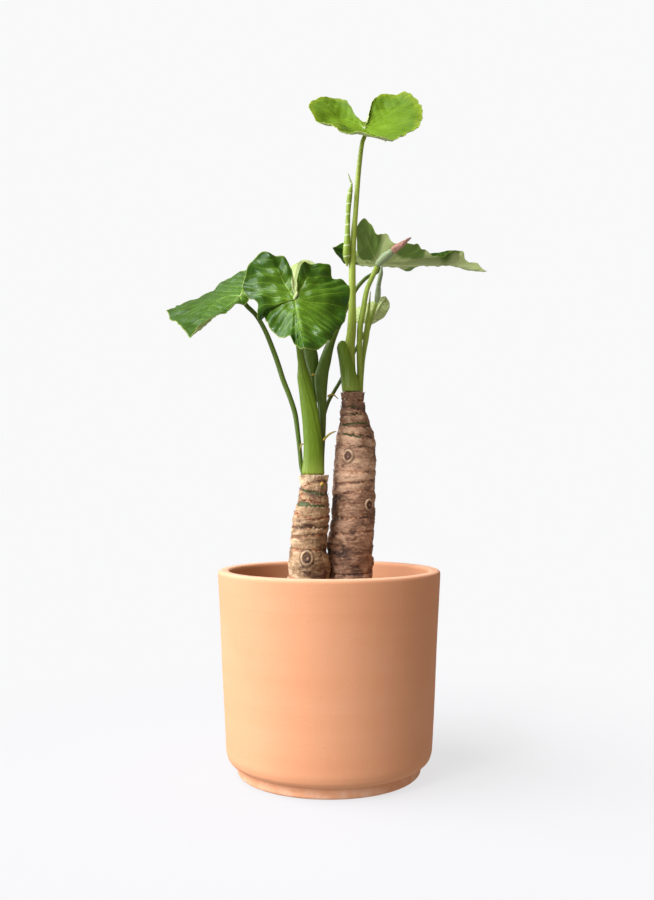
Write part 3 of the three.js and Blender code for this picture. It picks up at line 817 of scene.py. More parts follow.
def shred_garden():
    """Torn papery shreds on points: each stands along its point's `outward` direction."""
    sizes = {
        "Shortest": ("NodeSocketFloat", 0.002),
        "Longest": ("NodeSocketFloat", 0.006),
        "Curl": ("NodeSocketFloat", 0.0012),
        "Seed": ("NodeSocketInt", 1),
        "Material": ("NodeSocketMaterial", None),
    }
    g = Garden("Torn shreds", sizes)
    seed = g.given("Seed")
    points = g.node("GeometryNodeMeshToPoints", {}, {"Mesh": g.given("Geometry")})
    square = {"Size X": 1.0, "Size Y": 1.0, "Vertices X": 4, "Vertices Y": 5}
    strip = g.node("GeometryNodeMeshGrid", {}, square)
    where = g.node("GeometryNodeInputPosition")
    across = g.node("ShaderNodeSeparateXYZ", {}, {0: where}, "X")
    up = g.node("ShaderNodeSeparateXYZ", {}, {0: where}, "Y")
    height = g.math("ADD", up, 0.5)
    narrow = g.math("MULTIPLY", across, g.math("MULTIPLY_ADD", height, -0.75, 1.0))
    cup = g.math("MULTIPLY", across, across)
    depth = g.math("MULTIPLY_ADD", g.math("POWER", height, 2.0), 0.35, cup)
    form = g.node("ShaderNodeCombineXYZ", {}, {"X": narrow, "Y": depth, "Z": height})
    strip = g.moved(strip, "Position", form)
    wall = {"Mesh": strip, "Offset Scale": 0.09, "Individual": False}
    thick = g.node("GeometryNodeExtrudeMesh", {}, wall)
    back = g.node("GeometryNodeFlipFaces", {}, {"Mesh": strip})
    closed = g.tree.nodes.new("GeometryNodeJoinGeometry")
    for part in (thick, back):
        g.tree.links.new(part, closed.inputs[0])
    seams = {"Geometry": closed.outputs[0], "Distance": 0.0005}
    solid = g.node("GeometryNodeMergeByDistance", {}, seams)
    vector = {"data_type": "FLOAT_VECTOR"}
    outward = g.node("GeometryNodeInputNamedAttribute", vector, {"Name": "outward"})
    axes = {"axis": "Y", "pivot_axis": "Z"}
    facing = g.node("FunctionNodeAlignRotationToVector", axes, {"Vector": outward})
    lean = g.random((-0.35, -0.5, -0.3), (0.45, 0.5, 0.3), seed, "FLOAT_VECTOR")
    local = {"rotation_space": "LOCAL"}
    turned = g.node("FunctionNodeRotateRotation", local, {0: facing, 1: lean})
    length = g.random(g.given("Shortest"), g.given("Longest"), seed)
    broad = g.math("MULTIPLY", length, g.random(0.5, 1.3, seed))
    size = g.node("ShaderNodeCombineXYZ", {}, {"X": broad, "Y": g.given("Curl"), "Z": length})
    g.end(g.placed(points, solid, turned, size))
    return g


# ---- sizes and colours a user would change -------------------------------------------------


def size(name, description, millimetres):
    about = {"name": name, "description": description, "default": millimetres * MM}
    return bpy.props.FloatProperty(unit="LENGTH", precision=5, **about)


def share(name, description, value):
    about = {"name": name, "description": description, "default": value}
    return bpy.props.FloatProperty(min=0, max=1, subtype="FACTOR", **about)


def strength(name, description, value):
    about = {"name": name, "description": description, "default": value}
    return bpy.props.FloatProperty(min=0, **about)


def colour(name, description, code):
    about = {"name": name, "description": description, "default": tint(code)}
    return bpy.props.FloatVectorProperty(size=3, min=0, max=1, subtype="COLOR", **about)


class PotLook(bpy.types.PropertyGroup):
    clay: colour("Clay", "Main colour of the fired clay", "CE8F65")
    clay_deep: colour("Deep clay", "Clay where it fired darker", "C47D54")
    clay_pale: colour("Pale clay", "Clay where it fired paler", "D69D78")
    chalk: colour("Chalk", "Scuffs and lime on the clay", "EACDB4")
    speck: colour("Specks", "Small pits and grit", "8A4B2C")
    turning: size("Turning marks", "Height of the marks left by turning", 0.05)
    wobble: size("Wobble", "How far the wall strays from a true cone", 0.45)


class FillLook(bpy.types.PropertyGroup):
    soil: colour("Soil", "Potting mix", "5A4230")
    soil_dark: colour("Damp soil", "Potting mix where it is damp", "2E2119")
    bark_bit: colour("Bark bits", "Chips in the mix", "8A6A4A")
    grit: colour("Grit", "Pale grit in the mix", "CFC8BA")
    stone: colour("Stone", "Drainage gravel", "8F877B")
    stone_dark: colour("Dark stone", "Darker drainage gravel", "5F584F")
    mesh: colour("Mesh", "Plastic screen over the drain hole", "2B2E2C")
    crumb: size("Crumb", "Radius of the largest crumb", 3.4)
    pebble: size("Pebble", "Radius of the largest pebble", 7.0)
    lumps: size("Lumps", "Rise and fall of the soil's surface", 1.6)


class BarkLook(bpy.types.PropertyGroup):
    tan: colour("Tan", "Dry bands of the short trunk", "A5845F")
    tan_pale: colour("Pale tan", "Palest bands of the short trunk", "DCC29E")
    tan_dark: colour("Dark tan", "Darkest bands of the short trunk", "4F3322")
    brown: colour("Brown", "Bands of the tall trunk", "835E45")
    brown_pale: colour("Pale brown", "Palest bands of the tall trunk", "C39D7D")
    brown_dark: colour("Dark brown", "Darkest bands of the tall trunk", "3E271C")
    paper: colour("Paper", "Torn papery skin", "D2B48E")
    crevice: colour("Crevice", "Cracks between the bands", "20120D")
    rust: colour("Rust", "Rusty seams", "95542C")
    slit: colour("Slit", "Green skin where the bark has split", "4C5622")
    slit_dark: colour("Dark slit", "Shaded green skin", "2C3214")
    step: size("Step", "How far a band's upper edge stands out", 0.8)
    wander: size("Wander", "How far a band's edge strays up and down", 4.4)


class LeafLook(bpy.types.PropertyGroup):
    dark: colour("Dark leaf", "Oldest leaf", "26470A")
    dark_light: colour("Dark leaf, middle", "Oldest leaf round its ribs", "557617")
    bright: colour("Bright leaf", "Full-grown leaf", "2E4A0A")
    bright_light: colour("Bright leaf, middle", "Full-grown leaf round its ribs", "3F620D")
    young: colour("Young leaf", "Top leaf", "476208")
    young_light: colour("Young leaf, middle", "Top leaf round its ribs", "66840E")
    vein: colour("Vein", "Veins of the old leaves", "7C9A36")
    young_vein: colour("Young vein", "Veins of the top leaf", "5A7A16")
    twist: colour("Twisted edge", "Where the sheet turns its upper face down", "6A8A34")
    under: colour("Underside", "Underside of a leaf", "9AA862")
    under_light: colour("Underside, light", "Paler underside", "BCC78E")
    under_vein: colour("Underside vein", "Veins on the underside", "BCC68E")
    rim: colour("Rim", "Pale rim of a leaf", "909C44")
    yellow: colour("Yellow", "Ageing spots", "8C961C")
    thickness: size("Thickness", "Thickness of a blade near its stalk", 1.0)
    ripple: size("Ripple", "Rise and fall of the margin", 2.2)
    quilting: size("Quilting", "Swelling between the veins", 0.6)


class StalkLook(bpy.types.PropertyGroup):
    bright: colour("Bright stalk", "Young stalks and sheaths", "465F0C")
    bright_light: colour("Bright stalk, light", "Lit side of young stalks", "6F861C")
    tall: colour("Tall stalk", "Tallest stalk", "85952A")
    pale: colour("Pale foot", "Foot of a sheath", "9BAC4A")
    dark: colour("Dark stalk", "Older stalks", "3C4E16")
    dark_light: colour("Dark stalk, light", "Lit side of older stalks", "5C7226")
    streak: colour("Streak", "Fine streaks along a stalk", "859A36")
    mark: colour("Marks", "Pale marks across the rolled leaf", "C9D0A6")
    groove: share("Groove", "Depth of the fine grooves", 0.012)


class FlowerLook(bpy.types.PropertyGroup):
    green: colour("Spathe", "Green part of the flowers", "98A478")
    green_deep: colour("Deep spathe", "Darker part of the flowers", "5F7646")
    withered: colour("Withered", "Withered limb", "9A6653")
    withered_light: colour("Withered, light", "Paler part of the withered limb", "BD917C")
    grey: colour("Grey tip", "Tip of the withered limb", "75655F")
    straw: colour("Straw", "Dry bract tips", "B98C32")
    straw_dark: colour("Dark straw", "Dry bract tips where they brown", "7A4C1E")


class StageLook(bpy.types.PropertyGroup):
    backdrop: colour("Backdrop", "Pale surround", "F9F9FA")
    floor: colour("Floor", "Pale floor under the pot", "B4B2B2")
    key: strength("Key light", "Strength of the key light", 7.0)
    fill: strength("Fill light", "Strength of the surround", 0.52)


# ---- pot and what it holds --------------------------------------------------------------------


def lathe(profile, sides, stray):
    """Points of a profile turned about +Z, with what `stray` adds to each radius."""
    angles = TAU * np.arange(sides) / sides
    radius, height = profile[:, :1], profile[:, 1:]
    radius = radius + stray(angles[None, :], height, radius)
    return on_ring(angles, radius, height)


def rounded(profile, radius, step):
    """A closed outline with its corners rounded and its long sides divided."""
    count = len(profile)
    corners = []
    for k in range(count):
        before, here, after = profile[k - 1], profile[k], profile[(k + 1) % count]
        back, on = np.linalg.norm(before - here), np.linalg.norm(after - here)
        cut = min(radius, 0.42 * back, 0.42 * on)
        start, end = here + (before - here) * cut / back, here + (after - here) * cut / on
        for t in (0, 0.25, 0.5, 0.75, 1):
            corners.append((1 - t) ** 2 * start + 2 * t * (1 - t) * here + t * t * end)
    outline = []
    for here, after in zip(corners, corners[1:] + corners[:1]):
        parts = max(1, int(np.linalg.norm(after - here) / step))
        outline += [here + (after - here) * k / parts for k in range(parts)]
    return np.array(outline)


def node_profile(node):
    """The outline of a turned node, as [radius, height] in order round it."""
    knots = Knots(node)
    angle = np.arctan2(knots.points[:, 1], knots.points[:, 0])
    ahead = (np.abs(angle) < 0.02) & (knots.points[:, 0] > 1 * MM)
    return knots.cycle(np.flatnonzero(ahead).tolist())[:, [0, 2]]


def make_pot(look):
    """The clay pot, with turning marks, a slightly untrue wall and small nicks."""
    profile = rounded(node_profile("pot"), 2.2 * MM, 1.8 * MM)
    onward = np.roll(profile, -1, axis=0)
    area = (profile[:, 0] * onward[:, 1] - onward[:, 0] * profile[:, 1]).sum()
    if area < 0:
        profile = profile[::-1]

    def hand(angles, height, radius):
        at = np.concatenate([height / MM, radius / MM], axis=1)
        marks = waves(at[:, :1], 5.5, 11, 14)[:, None] * look.turning
        marks = marks + waves(at[:, :1], 30, 12, 8)[:, None] * look.turning * 0.9
        ring = on_ring(angles, 60, height / MM)
        stray = waves(ring, (70, 70, 150), 13, 6) * look.wobble * 0.5
        nicks = np.minimum(0, waves(ring, (9, 9, 14), 14, 12) + 1.9) * 0.25 * MM
        live = smooth(16 * MM, 40 * MM, radius)
        return (marks * 0.6 + stray) * live + nicks * live

    sides = POT_SIDES
    points = lathe(profile, sides, hand)
    faces = grid_faces(len(profile), sides)
    last = (len(profile) - 1) * sides
    faces += [[last + j, last + (j + 1) % sides, (j + 1) % sides, j] for j in range(sides)]
    piece = add_piece("clay_pot", points.reshape(-1, 3), faces, clay_finish(look))
    settle(piece, "pot")


def soil_disc(radius, height, step, look, seed):
    """A gently lumpy disc of quads, for what is scattered on it."""
    sides, rows = DISC_SIDES, max(3, int(radius / step))
    rings = radius * (np.arange(rows + 1) / rows)[1:]
    angles = TAU * np.arange(sides) / sides
    flat = on_ring(angles, rings[:, None])
    low = waves(flat / MM, 26, seed, 9) * look.lumps * 0.5
    low = low + waves(flat / MM, 8, seed + 1, 12) * look.lumps * 0.3
    levels = height(rings)[:, None] + low
    top = np.concatenate([flat, levels[..., None]], axis=-1).reshape(-1, 3)
    points = np.vstack([top, [[0, 0, height(np.array([0.0]))[0]]]])
    faces = grid_faces(rows, sides, flip=True) + fan_faces(len(top), 0, sides, flip=True)
    return points, faces, sides, rows


def make_soil(look, lumps):
    """The bed of potting mix, and the crumbs and grit that lie on it."""
    lowest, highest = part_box("soil")
    radius = highest[0]
    inner = Knots("soil").points
    wall = inner[np.hypot(inner[:, 0], inner[:, 1]) > 0.97 * radius]
    edge_height = wall[:, 2].max()

    def mound(r):
        return highest[2] + (edge_height - highest[2]) * smooth(0.3 * radius, radius, r)

    seed, side_rows = 21, 23
    top_radius = radius - 0.4 * MM
    points, faces, sides, rows = soil_disc(top_radius, mound, 2.5 * MM, look, seed)
    low_radius = np.hypot(*inner[inner[:, 2] < lowest[2] + 0.5 * MM][:, :2].T).max()
    down = np.linspace(0, 1, side_rows + 1)[1:, None]
    ring = TAU * np.arange(sides) / sides
    level = edge_height * (1 - down) + lowest[2] * down
    side = on_ring(ring, top_radius * (1 - down) + low_radius * down, level)
    rim, start = (rows - 1) * sides, len(points)
    points = np.vstack([points, side.reshape(-1, 3), [[0, 0, lowest[2]]]])
    j = np.arange(sides)
    onward = (j + 1) % sides
    faces += np.stack([rim + j, start + j, start + onward, rim + onward], axis=-1).tolist()
    faces += grid_faces(side_rows, sides, start, flip=True)
    faces += fan_faces(len(points) - 1, start + (side_rows - 1) * sides, sides)
    finish = soil_finish(look)
    settle(add_piece("soil_bed", points, faces, finish), "soil")
    dark, pale = (look.soil_dark, look.bark_bit), (look.stone, look.grit)
    for name, seed_here, largest, smallest, density, spacing, shades, rough in (
        ("soil_crumbs", 21, look.crumb, 0.9, 60000.0, 2.9, dark, 0.85),
        ("soil_grit", 33, look.crumb * 0.5, 0.5, 6000.0, 7.0, pale, 0.8),
    ):
        points, faces, _, _ = soil_disc(radius - 4 * MM, mound, 3.5 * MM, look, seed)
        piece = add_piece(name, points, faces, finish)
        lumps.grow_on(
            piece,
            Density=density,
            Spacing=spacing * MM,
            Smallest=smallest * MM,
            Largest=largest,
            Roughness=1.6 * MM,
            Detail=1,
            Seed=seed_here,
            Material=crumb_finish(name.replace("_", " "), *shades, rough),
        )
        settle(piece, None)


def make_gravel(look, lumps):
    """Three layers of pebbles under the soil."""
    lowest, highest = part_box("drainage_gravel")
    finish = crumb_finish("Drainage gravel", look.stone_dark, look.stone, 0.8)
    points, faces = [], []
    radius = look.pebble
    layers = np.linspace(lowest[2] + 0.75 * radius, highest[2] - 0.75 * radius, 3)
    for k, level in enumerate(layers):
        outer = highest[0] - radius * (1.9 if k == 0 else 1.25)
        ring, quads, _, _ = soil_disc(outer, lambda r: level + 0 * r, 9 * MM, look, 40 + k)
        faces += [[v + len(points) for v in face] for face in quads]
        points += ring.tolist()
    piece = add_piece("gravel_layer", points, faces, finish)
    lumps.grow_on(
        piece,
        Density=20000.0,
        Spacing=9.5 * MM,
        Smallest=radius * 0.62,
        Largest=radius,
        Roughness=3.0 * MM,
        Detail=2,
        Seed=5,
        Material=finish,
    )
    settle(piece, "drainage_gravel")


def dress_screen(look):
    """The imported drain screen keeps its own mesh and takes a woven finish."""
    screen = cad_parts["drain_screen"]
    screen.data.materials.clear()
    screen.data.materials.append(mesh_finish(look))


# ---- trunks -----------------------------------------------------------------------------------


class Trunk:
    """A packed trunk's axis, girth, leaf scars and dormant eyes."""

    def __init__(self, node):
        points = Knots(node).points
        levels = {}
        for k, z in enumerate(np.round(points[:, 2] / MM, 1)):
            levels.setdefault(float(z), []).append(k)
        rows = []
        for z in sorted(levels):
            ring = points[levels[z]]
            if len(ring) < 12:
                continue
            sides = np.column_stack([2 * ring[:, :2], np.ones(len(ring))])
            found = np.linalg.lstsq(sides, (ring[:, :2] ** 2).sum(axis=1), rcond=None)[0]
            radius = math.sqrt(found[2] + found[0] ** 2 + found[1] ** 2)
            off = np.abs(np.hypot(*(ring[:, :2] - found[:2]).T) - radius).max()
            if off < 0.3 * MM:
                rows.append([z * MM, found[0], found[1], radius])
        rows = np.array(rows)
        steps = np.diff(rows[:, 0])
        merged, self.scars, k = [], [], 0
        while k < len(rows):
            if k < len(steps) and steps[k] < 2.5 * MM and rows[k, 3] > rows[k + 1, 3]:
                merged.append((rows[k] + rows[k + 1]) / 2)
                self.scars.append(merged[-1][0])
                k += 2
            else:
                merged.append(rows[k])
                k += 1
        self.rows = np.array(merged)
        self.top, self.bottom = points[:, 2].max(), points[:, 2].min()
        centre = self.centre(points[:, 2])
        out = np.hypot(*(points[:, :2] - centre).T) - self.radius(points[:, 2])
        proud = points[(out > 1.5 * MM) & (points[:, 2] < self.top - 4 * MM)]
        self.eyes = []
        for point in proud:
            for eye in self.eyes:
                if np.linalg.norm(np.mean(eye, axis=0) - point) < 11 * MM:
                    eye.append(point)
                    break
            else:
                self.eyes.append([point])
        self.eyes = [np.array(eye) for eye in self.eyes if len(eye) > 4]

    def centre(self, z):
        return np.stack([np.interp(z, self.rows[:, 0], self.rows[:, k]) for k in (1, 2)], axis=-1)

    def radius(self, z):
        return np.interp(z, self.rows[:, 0], self.rows[:, 3])


def band_edges(trunk, look, around, torn, rng):
    """Where each papery band begins and ends, row by row, with each scar's tilt and phase."""
    scars = np.array(trunk.scars)
    tilt = rng.uniform(0.3, 1.0, len(scars)) * look.wander
    phase = rng.uniform(0, TAU, len(scars))
    second = rng.uniform(0, TAU, len(scars))
    edges = [np.full(around.shape, SOIL_TOP - 9 * MM)]
    for k, scar in enumerate(scars):
        calm = smooth(0, 12 * MM, trunk.top - scar)
        wavy = tilt[k] * np.sin(around + phase[k]) + 0.35 * tilt[k] * np.sin(2 * around + second[k])
        edges.append(scar + wavy * calm + torn)
    edges.append(np.full(around.shape, trunk.top + 3 * MM))
    return np.sort(np.array(edges), axis=0), tilt, phase


def raise_eyes(trunk, out, z, around, radius, ring, seed):
    """Adds the dormant eyes to the relief; also gives each place's distance from an eye."""
    eye_number = np.full(z.shape, 3.0)
    for eye in trunk.eyes:
        middle = (eye.max(axis=0) + eye.min(axis=0)) / 2
        off = middle[:2] - trunk.centre(middle[2])
        tall = (eye[:, 2].max() - eye[:, 2].min()) / 2 * 1.05 * 1.5
        turn = turned_from(around, math.atan2(off[1], off[0]))
        reach = np.hypot(turn * radius / (tall * 0.78), (z - middle[2]) / tall)
        lump = 2.4 * MM * np.sqrt(np.clip(1 - reach**2, 0, 1)) + 1.2 * MM * hump(reach - 0.95, 0.2)
        lump -= 0.8 * MM * hump(reach - 0.62, 0.12) + 1.6 * MM * hump(reach, 0.25)
        lump += 0.5 * MM * waves(ring, (3, 3, 3), seed) * hump(reach, 0.6)
        near = 1 - smooth(1.0, 1.35, reach)
        out = out * (1 - 0.7 * near) + lump
        eye_number = np.minimum(eye_number, reach)
    return out, eye_number


def green_slits(trunk, slits, z, around, ring, torn, seed):
    """1 where the bark has split down to green skin, 0 elsewhere."""
    green = np.zeros(z.shape)
    for place, heading, width, tall, slope in slits:
        turn = turned_from(around, math.radians(heading))
        line = SOIL_TOP + place * (trunk.top - SOIL_TOP) + slope * MM * np.sin(turn) * 4 + torn
        ragged = 0.12 * waves(ring, (5, 5, 5), seed)
        ends = 1 - smooth(0.75, 1.15, np.abs(turn) / math.radians(width) + ragged)
        green = np.maximum(green, hump(z - line, tall * MM) * ends)
    return green


def make_trunk(node, look, finish, seed, slits, lean, shreds):
    """`slits` lists the green splits as [share of height, heading in degrees, width, height, slope];
    `lean` is the heading in which the two trunks press together."""
    trunk = Trunk(node)
    rng = np.random.default_rng(seed)
    deep = np.linspace(trunk.bottom, SOIL_TOP - 6 * MM, 12)
    shown = np.arange(SOIL_TOP - 5 * MM, trunk.top - 0.2 * MM, TRUNK_STEP)
    heights = np.concatenate([deep, shown])
    angles = TAU * np.arange(TRUNK_SIDES) / TRUNK_SIDES
    z, a = np.meshgrid(heights, angles, indexing="ij")
    radius = trunk.radius(z)
    ring = on_ring(a, 24, z / MM)
    torn = waves(ring, (5, 5, 40), seed + 1, 14) * 0.5 * MM
    torn = torn + waves(ring, (2.4, 2.4, 30), seed + 2, 12) * 0.22 * MM
    edges, tilt, phase = band_edges(trunk, look, a, torn, rng)
    index = np.clip((edges[1:-1] < z).sum(axis=0), 0, len(edges) - 2)
    below = np.take_along_axis(edges, index[None], axis=0)[0]
    above = np.take_along_axis(edges, index[None] + 1, axis=0)[0]
    band = np.clip((z - below) / np.maximum(above - below, 1 * MM), 0, 1)
    live = smooth(SOIL_TOP - 12 * MM, SOIL_TOP - 4 * MM, z)
    out = look.step * (np.sin(np.pi * band**1.3) * 1.3 + band**3 * 0.8 - 0.8)
    out -= 0.5 * MM * hump(z - below, 0.9 * MM)
    out += rng.uniform(-0.4, 0.6, len(edges))[index] * MM * band
    out += waves(ring, (14, 14, 2.6), seed + 3, 16) * 0.2 * MM
    out += waves(ring, (3.4, 3.4, 9), seed + 4, 16) * 0.16 * MM
    out += waves(ring, (26, 26, 20), seed + 5, 8) * 0.55 * MM
    out -= 0.6 * MM * smooth(1.1, 2.0, waves(ring, (6, 6, 3), seed + 6, 12))
    out, eye_number = raise_eyes(trunk, out, z, a, radius, ring, seed + 7)
    green = green_slits(trunk, slits, z, a, ring, torn, seed + 12)
    out -= 0.7 * MM * smooth(0.4, 0.7, green)
    frayed = smooth(trunk.top - 5 * MM, trunk.top, z)
    out += frayed * (0.4 * MM + waves(ring, (4, 4, 8), seed + 8) * 0.35 * MM)
    pressed = hump(turned_from(a, math.radians(lean)), 0.75)
    out += 1.5 * MM * pressed * (1 - smooth(SOIL_TOP + 75 * MM, SOIL_TOP + 125 * MM, z))
    centre = trunk.centre(z)
    z = np.minimum(z + frayed * waves(ring, (5, 5, 90), seed + 9) * 0.25 * MM, trunk.top + 0.25 * MM)
    points = on_ring(a, radius + out * live, z)
    points[..., :2] += centre
    ends = [[*trunk.centre(trunk.bottom), trunk.bottom], [*trunk.centre(trunk.top), trunk.top - 0.6 * MM]]
    points = np.vstack([points.reshape(-1, 3), ends])
    wraps = rng.uniform(0, 1, len(edges))[index]
    seam = np.minimum(z - below, above - z) / MM
    numbers = {"wrap": wraps, "seam": seam, "eye": eye_number, "green": green}
    numbers = {key: np.append(value.ravel(), [0.0, 0.0]) for key, value in numbers.items()}
    faces = tube_faces(len(heights), TRUNK_SIDES)
    piece = add_piece(node + "_bark", points, faces, finish, numbers)
    settle(piece, node)
    spots = shred_spots(trunk, tilt, phase, rng)
    make_shreds(node, look, finish, seed, spots, shreds)


def shred_spots(trunk, tilt, phase, rng):
    """Where the torn shreds stand, a few at each scar and many at the cut top, and which way."""
    spots, headings = [], []
    for k, scar in enumerate([*trunk.scars, trunk.top - 1.2 * MM]):
        at_top = k == len(trunk.scars)
        for _ in range(34 if at_top else 4):
            heading = rng.uniform(0, TAU)
            level = scar if at_top else scar + tilt[k] * math.sin(heading + phase[k])
            if level < SOIL_TOP + 3 * MM or level > trunk.top:
                continue
            here = trunk.centre(level)
            r = trunk.radius(level) + (0.1 if at_top else 0.25) * MM
            outward = np.array([math.cos(heading), math.sin(heading), 0.0])
            spots.append(np.array([*here, level - 1.5 * MM]) + r * outward)
            headings.append(outward)
    return spots, headings


def make_shreds(node, look, finish, seed, spots, shreds):
    """Torn papery shreds standing on a trunk."""
    paper = add_piece(node + "_shreds", spots[0], [], finish)
    write_number(paper.data, "outward", spots[1], "FLOAT_VECTOR", "vector")
    name = node.replace("_", " ") + " shreds"
    shreds.grow_on(
        paper,
        Shortest=1.6 * MM,
        Longest=3.6 * MM,
        Curl=1.9 * MM,
        Seed=seed,
        Material=crumb_finish(name, look.brown_dark, look.paper, 0.75),
    )
    settle(paper, None)


def make_bud(flower, bark):
    """A small bud wrapped in spiral scales."""
    lowest, highest = (np.array(corner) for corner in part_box("side_bud"))
    middle = (lowest + highest) / 2
    half = (highest[0] - lowest[0]) / 2
    rows, sides = 34, 40
    t = np.linspace(0.02, 0.98, rows)[:, None]
    a = TAU * np.arange(sides)[None, :] / sides
    girth = np.sin(np.pi * t**1.15) ** 0.7 * (1 - 0.25 * t)
    scale = (t * 3.2 + a / TAU) % 1
    girth = girth * (1 + 0.16 * scale**3 - 0.05)
    points = on_ring(a, half * girth, lowest[2] + t * (highest[2] - lowest[2]))
    points[..., :2] += middle[:2]
    ends = [[middle[0], middle[1], level] for level in (lowest[2], highest[2])]
    points = np.vstack([points.reshape(-1, 3), ends])
    shares = {"share": np.append((t + 0 * a).ravel(), [0, 1])}
    finish = bud_finish(flower, bark)
    piece = add_piece("side_bud_scales", points, tube_faces(rows, sides), finish, shares)
    settle(piece, "side_bud")


# ---- leaves -----------------------------------------------------------------------------------

# How each blade is laid out. A heading is [right, back, up] from the stalk's tip towards a place on
# the margin, and a share is how far out towards that place; lengths are in millimetres.
#   tip      heading of the leaf's point
#   ribs     the midrib and both lobes' ribs, as heading and share of their ends
#   bend     heading and share that the midrib curves towards
#   spacing  distance between side veins along the midrib
#   slant    angle between midrib and side veins, in degrees
#   folds    bumps (or dips) of the sheet: heading, share, radius, height
#   rolls    stretches of margin that roll down: heading, half length, start share, drop, tuck
#   turned   where the under side takes the upper side's green: heading, share, radius, strength
#   ripple   how wavy the margin is
#   swell    how uneven the sheet is
#   tail     where along the midrib the blade begins to narrow to a thin tail
BLADES = {
    "front": {
        "tip": (11, -38, -51),
        "ribs": [((11, -38, -51), 0.97), ((-24, 14, 43), 0.72), ((20, 12, 35), 0.72)],
        "spacing": 11.0,
        "slant": 54,
        "folds": [
            ((-42, 15, 31), 0.66, 13, 3.2),
            ((-47, 15, 15), 0.8, 11, -2.4),
            ((-40, 5, 3), 0.78, 9, 3.0),
            ((47, 13, 0), 0.6, 11, 2.4),
            ((44, 8, -14), 0.85, 9, -3.0),
            ((32, -18, -37), 0.8, 10, 2.8),
            ((-28, 6, -13), 0.8, 9, 3.0),
            ((-15, -10, -32), 0.8, 10, -2.6),
        ],
        "rolls": [((-34, 2, -9), 26, 0.72, 7, 0.5), ((38, -8, -30), 20, 0.8, 4, 0.5)],
        "ripple": 1.5,
        "swell": 0.95,
        "seed": 3,
    },
    "left": {
        "tip": (-42, -46, -49),
        "ribs": [((-42, -46, -49), 0.97), ((2, 40, 34), 0.75), ((4, -18, -12), 0.75)],
        "bend": ((-68, 20, -8), 0.36),
        "spacing": 12.0,
        "slant": 52,
        "folds": [
            ((8, -12, -9), 0.7, 9, 2.0),
            ((-26, -38, -30), 0.75, 12, 1.8),
            ((-50, -29, -40), 0.8, 12, -2.0),
            ((-73, 34, -5), 0.8, 12, 2.0),
        ],
        "ripple": 0.8,
        "seed": 5,
    },
    "back": {
        "tip": (6, 84, -40),
        "ribs": [((6, 84, -40), 0.96), ((-17, 8, 40), 0.75), ((10, 18, 52), 0.75)],
        "spacing": 11.0,
        "slant": 54,
        "folds": [((-14, 70, -26), 0.7, 14, 3.0), ((36, 46, 0), 0.7, 14, -3.0)],
        "ripple": 1.0,
        "seed": 7,
    },
    "right": {
        "tip": (99, -4, -6),
        "ribs": [((99, -4, -6), 0.985), ((-17, -23, 30), 0.75), ((-28, 22, 5), 0.75)],
        "spacing": 12.0,
        "slant": 50,
        "folds": [
            ((134, -5, -8), 0.4, 22, 3.0),
            ((134, -5, -8), 0.66, 18, 4.5),
            ((45, 47, 5), 0.9, 9, -4.0),
            ((84, 23, 8), 0.8, 14, 3.0),
            ((47, -28, 15), 0.7, 12, -3.0),
            ((-12, -31, 40), 0.6, 9, 3.0),
            ((-28, -26, 28), 0.6, 10, -3.5),
            ((-53, 9, 19), 0.7, 12, 3.0),
        ],
        "rolls": [((93, -19, 12), 12, 0.7, 4, 0.2), ((-53, 5, 22), 16, 0.6, 4, 0.3)],
        "turned": [
            ((-53, 9, 19), 0.85, 17, 1.0),
            ((-40, 27, 5), 0.85, 13, 1.0),
            ((-28, -26, 28), 0.7, 20, 0.75),
            ((-20, -30, 41), 0.7, 20, 0.75),
            ((34, -33, 18), 0.86, 14, 0.8),
            ((50, -27, 13), 0.86, 10, 0.8),
            ((95, -18, 13), 0.84, 12, 0.9),
            ((45, 47, 5), 0.9, 9, 0.8),
        ],
        "ripple": 1.5,
        "tail": 90,
        "seed": 9,
    },
    "rear": {
        "tip": (37, 42, 62),
        "ribs": [((37, 42, 62), 0.96), ((-22, 16, 20), 0.75), ((14, 8, 2), 0.75)],
        "spacing": 7.0,
        "slant": 52,
        "ripple": 0.5,
        "seed": 11,
    },
    "crown": {
        "tip": (20, -80, -41),
        "ribs": [((20, -80, -41), 0.97), ((-40, 36, 44), 0.82), ((40, 32, 46), 0.82)],
        "spacing": 13.0,
        "slant": 46,
        "folds": [
            ((-49, 29, 33), 0.75, 16, 3.0),
            ((-42, 6, 12), 0.8, 14, -4.0),
            ((-30, -11, -1), 0.8, 12, 3.4),
            ((49, -11, 8), 0.75, 16, 3.2),
            ((41, -39, -15), 0.8, 14, -3.4),
            ((39, 32, 46), 0.75, 16, -3.0),
            ((-41, 39, 44), 0.5, 14, -3.0),
        ],
        "ripple": 0.45,
        "seed": 13,
    },
}


def along_rib(places, rib):
    """Each place's distance along the rib, to its side, and to its nearest point."""
    travel = lengths(rib)
    tangents = unit(np.gradient(rib, axis=0))
    gaps = np.linalg.norm(places[:, None] - rib[None], axis=2)
    nearest = gaps.argmin(axis=1)
    offset = places - rib[nearest]
    heading = tangents[nearest]
    ahead = travel[nearest] + (offset * heading).sum(axis=1)
    beside = heading[:, 0] * offset[:, 1] - heading[:, 1] * offset[:, 0]
    return ahead, beside, gaps.min(axis=1), travel[-1]


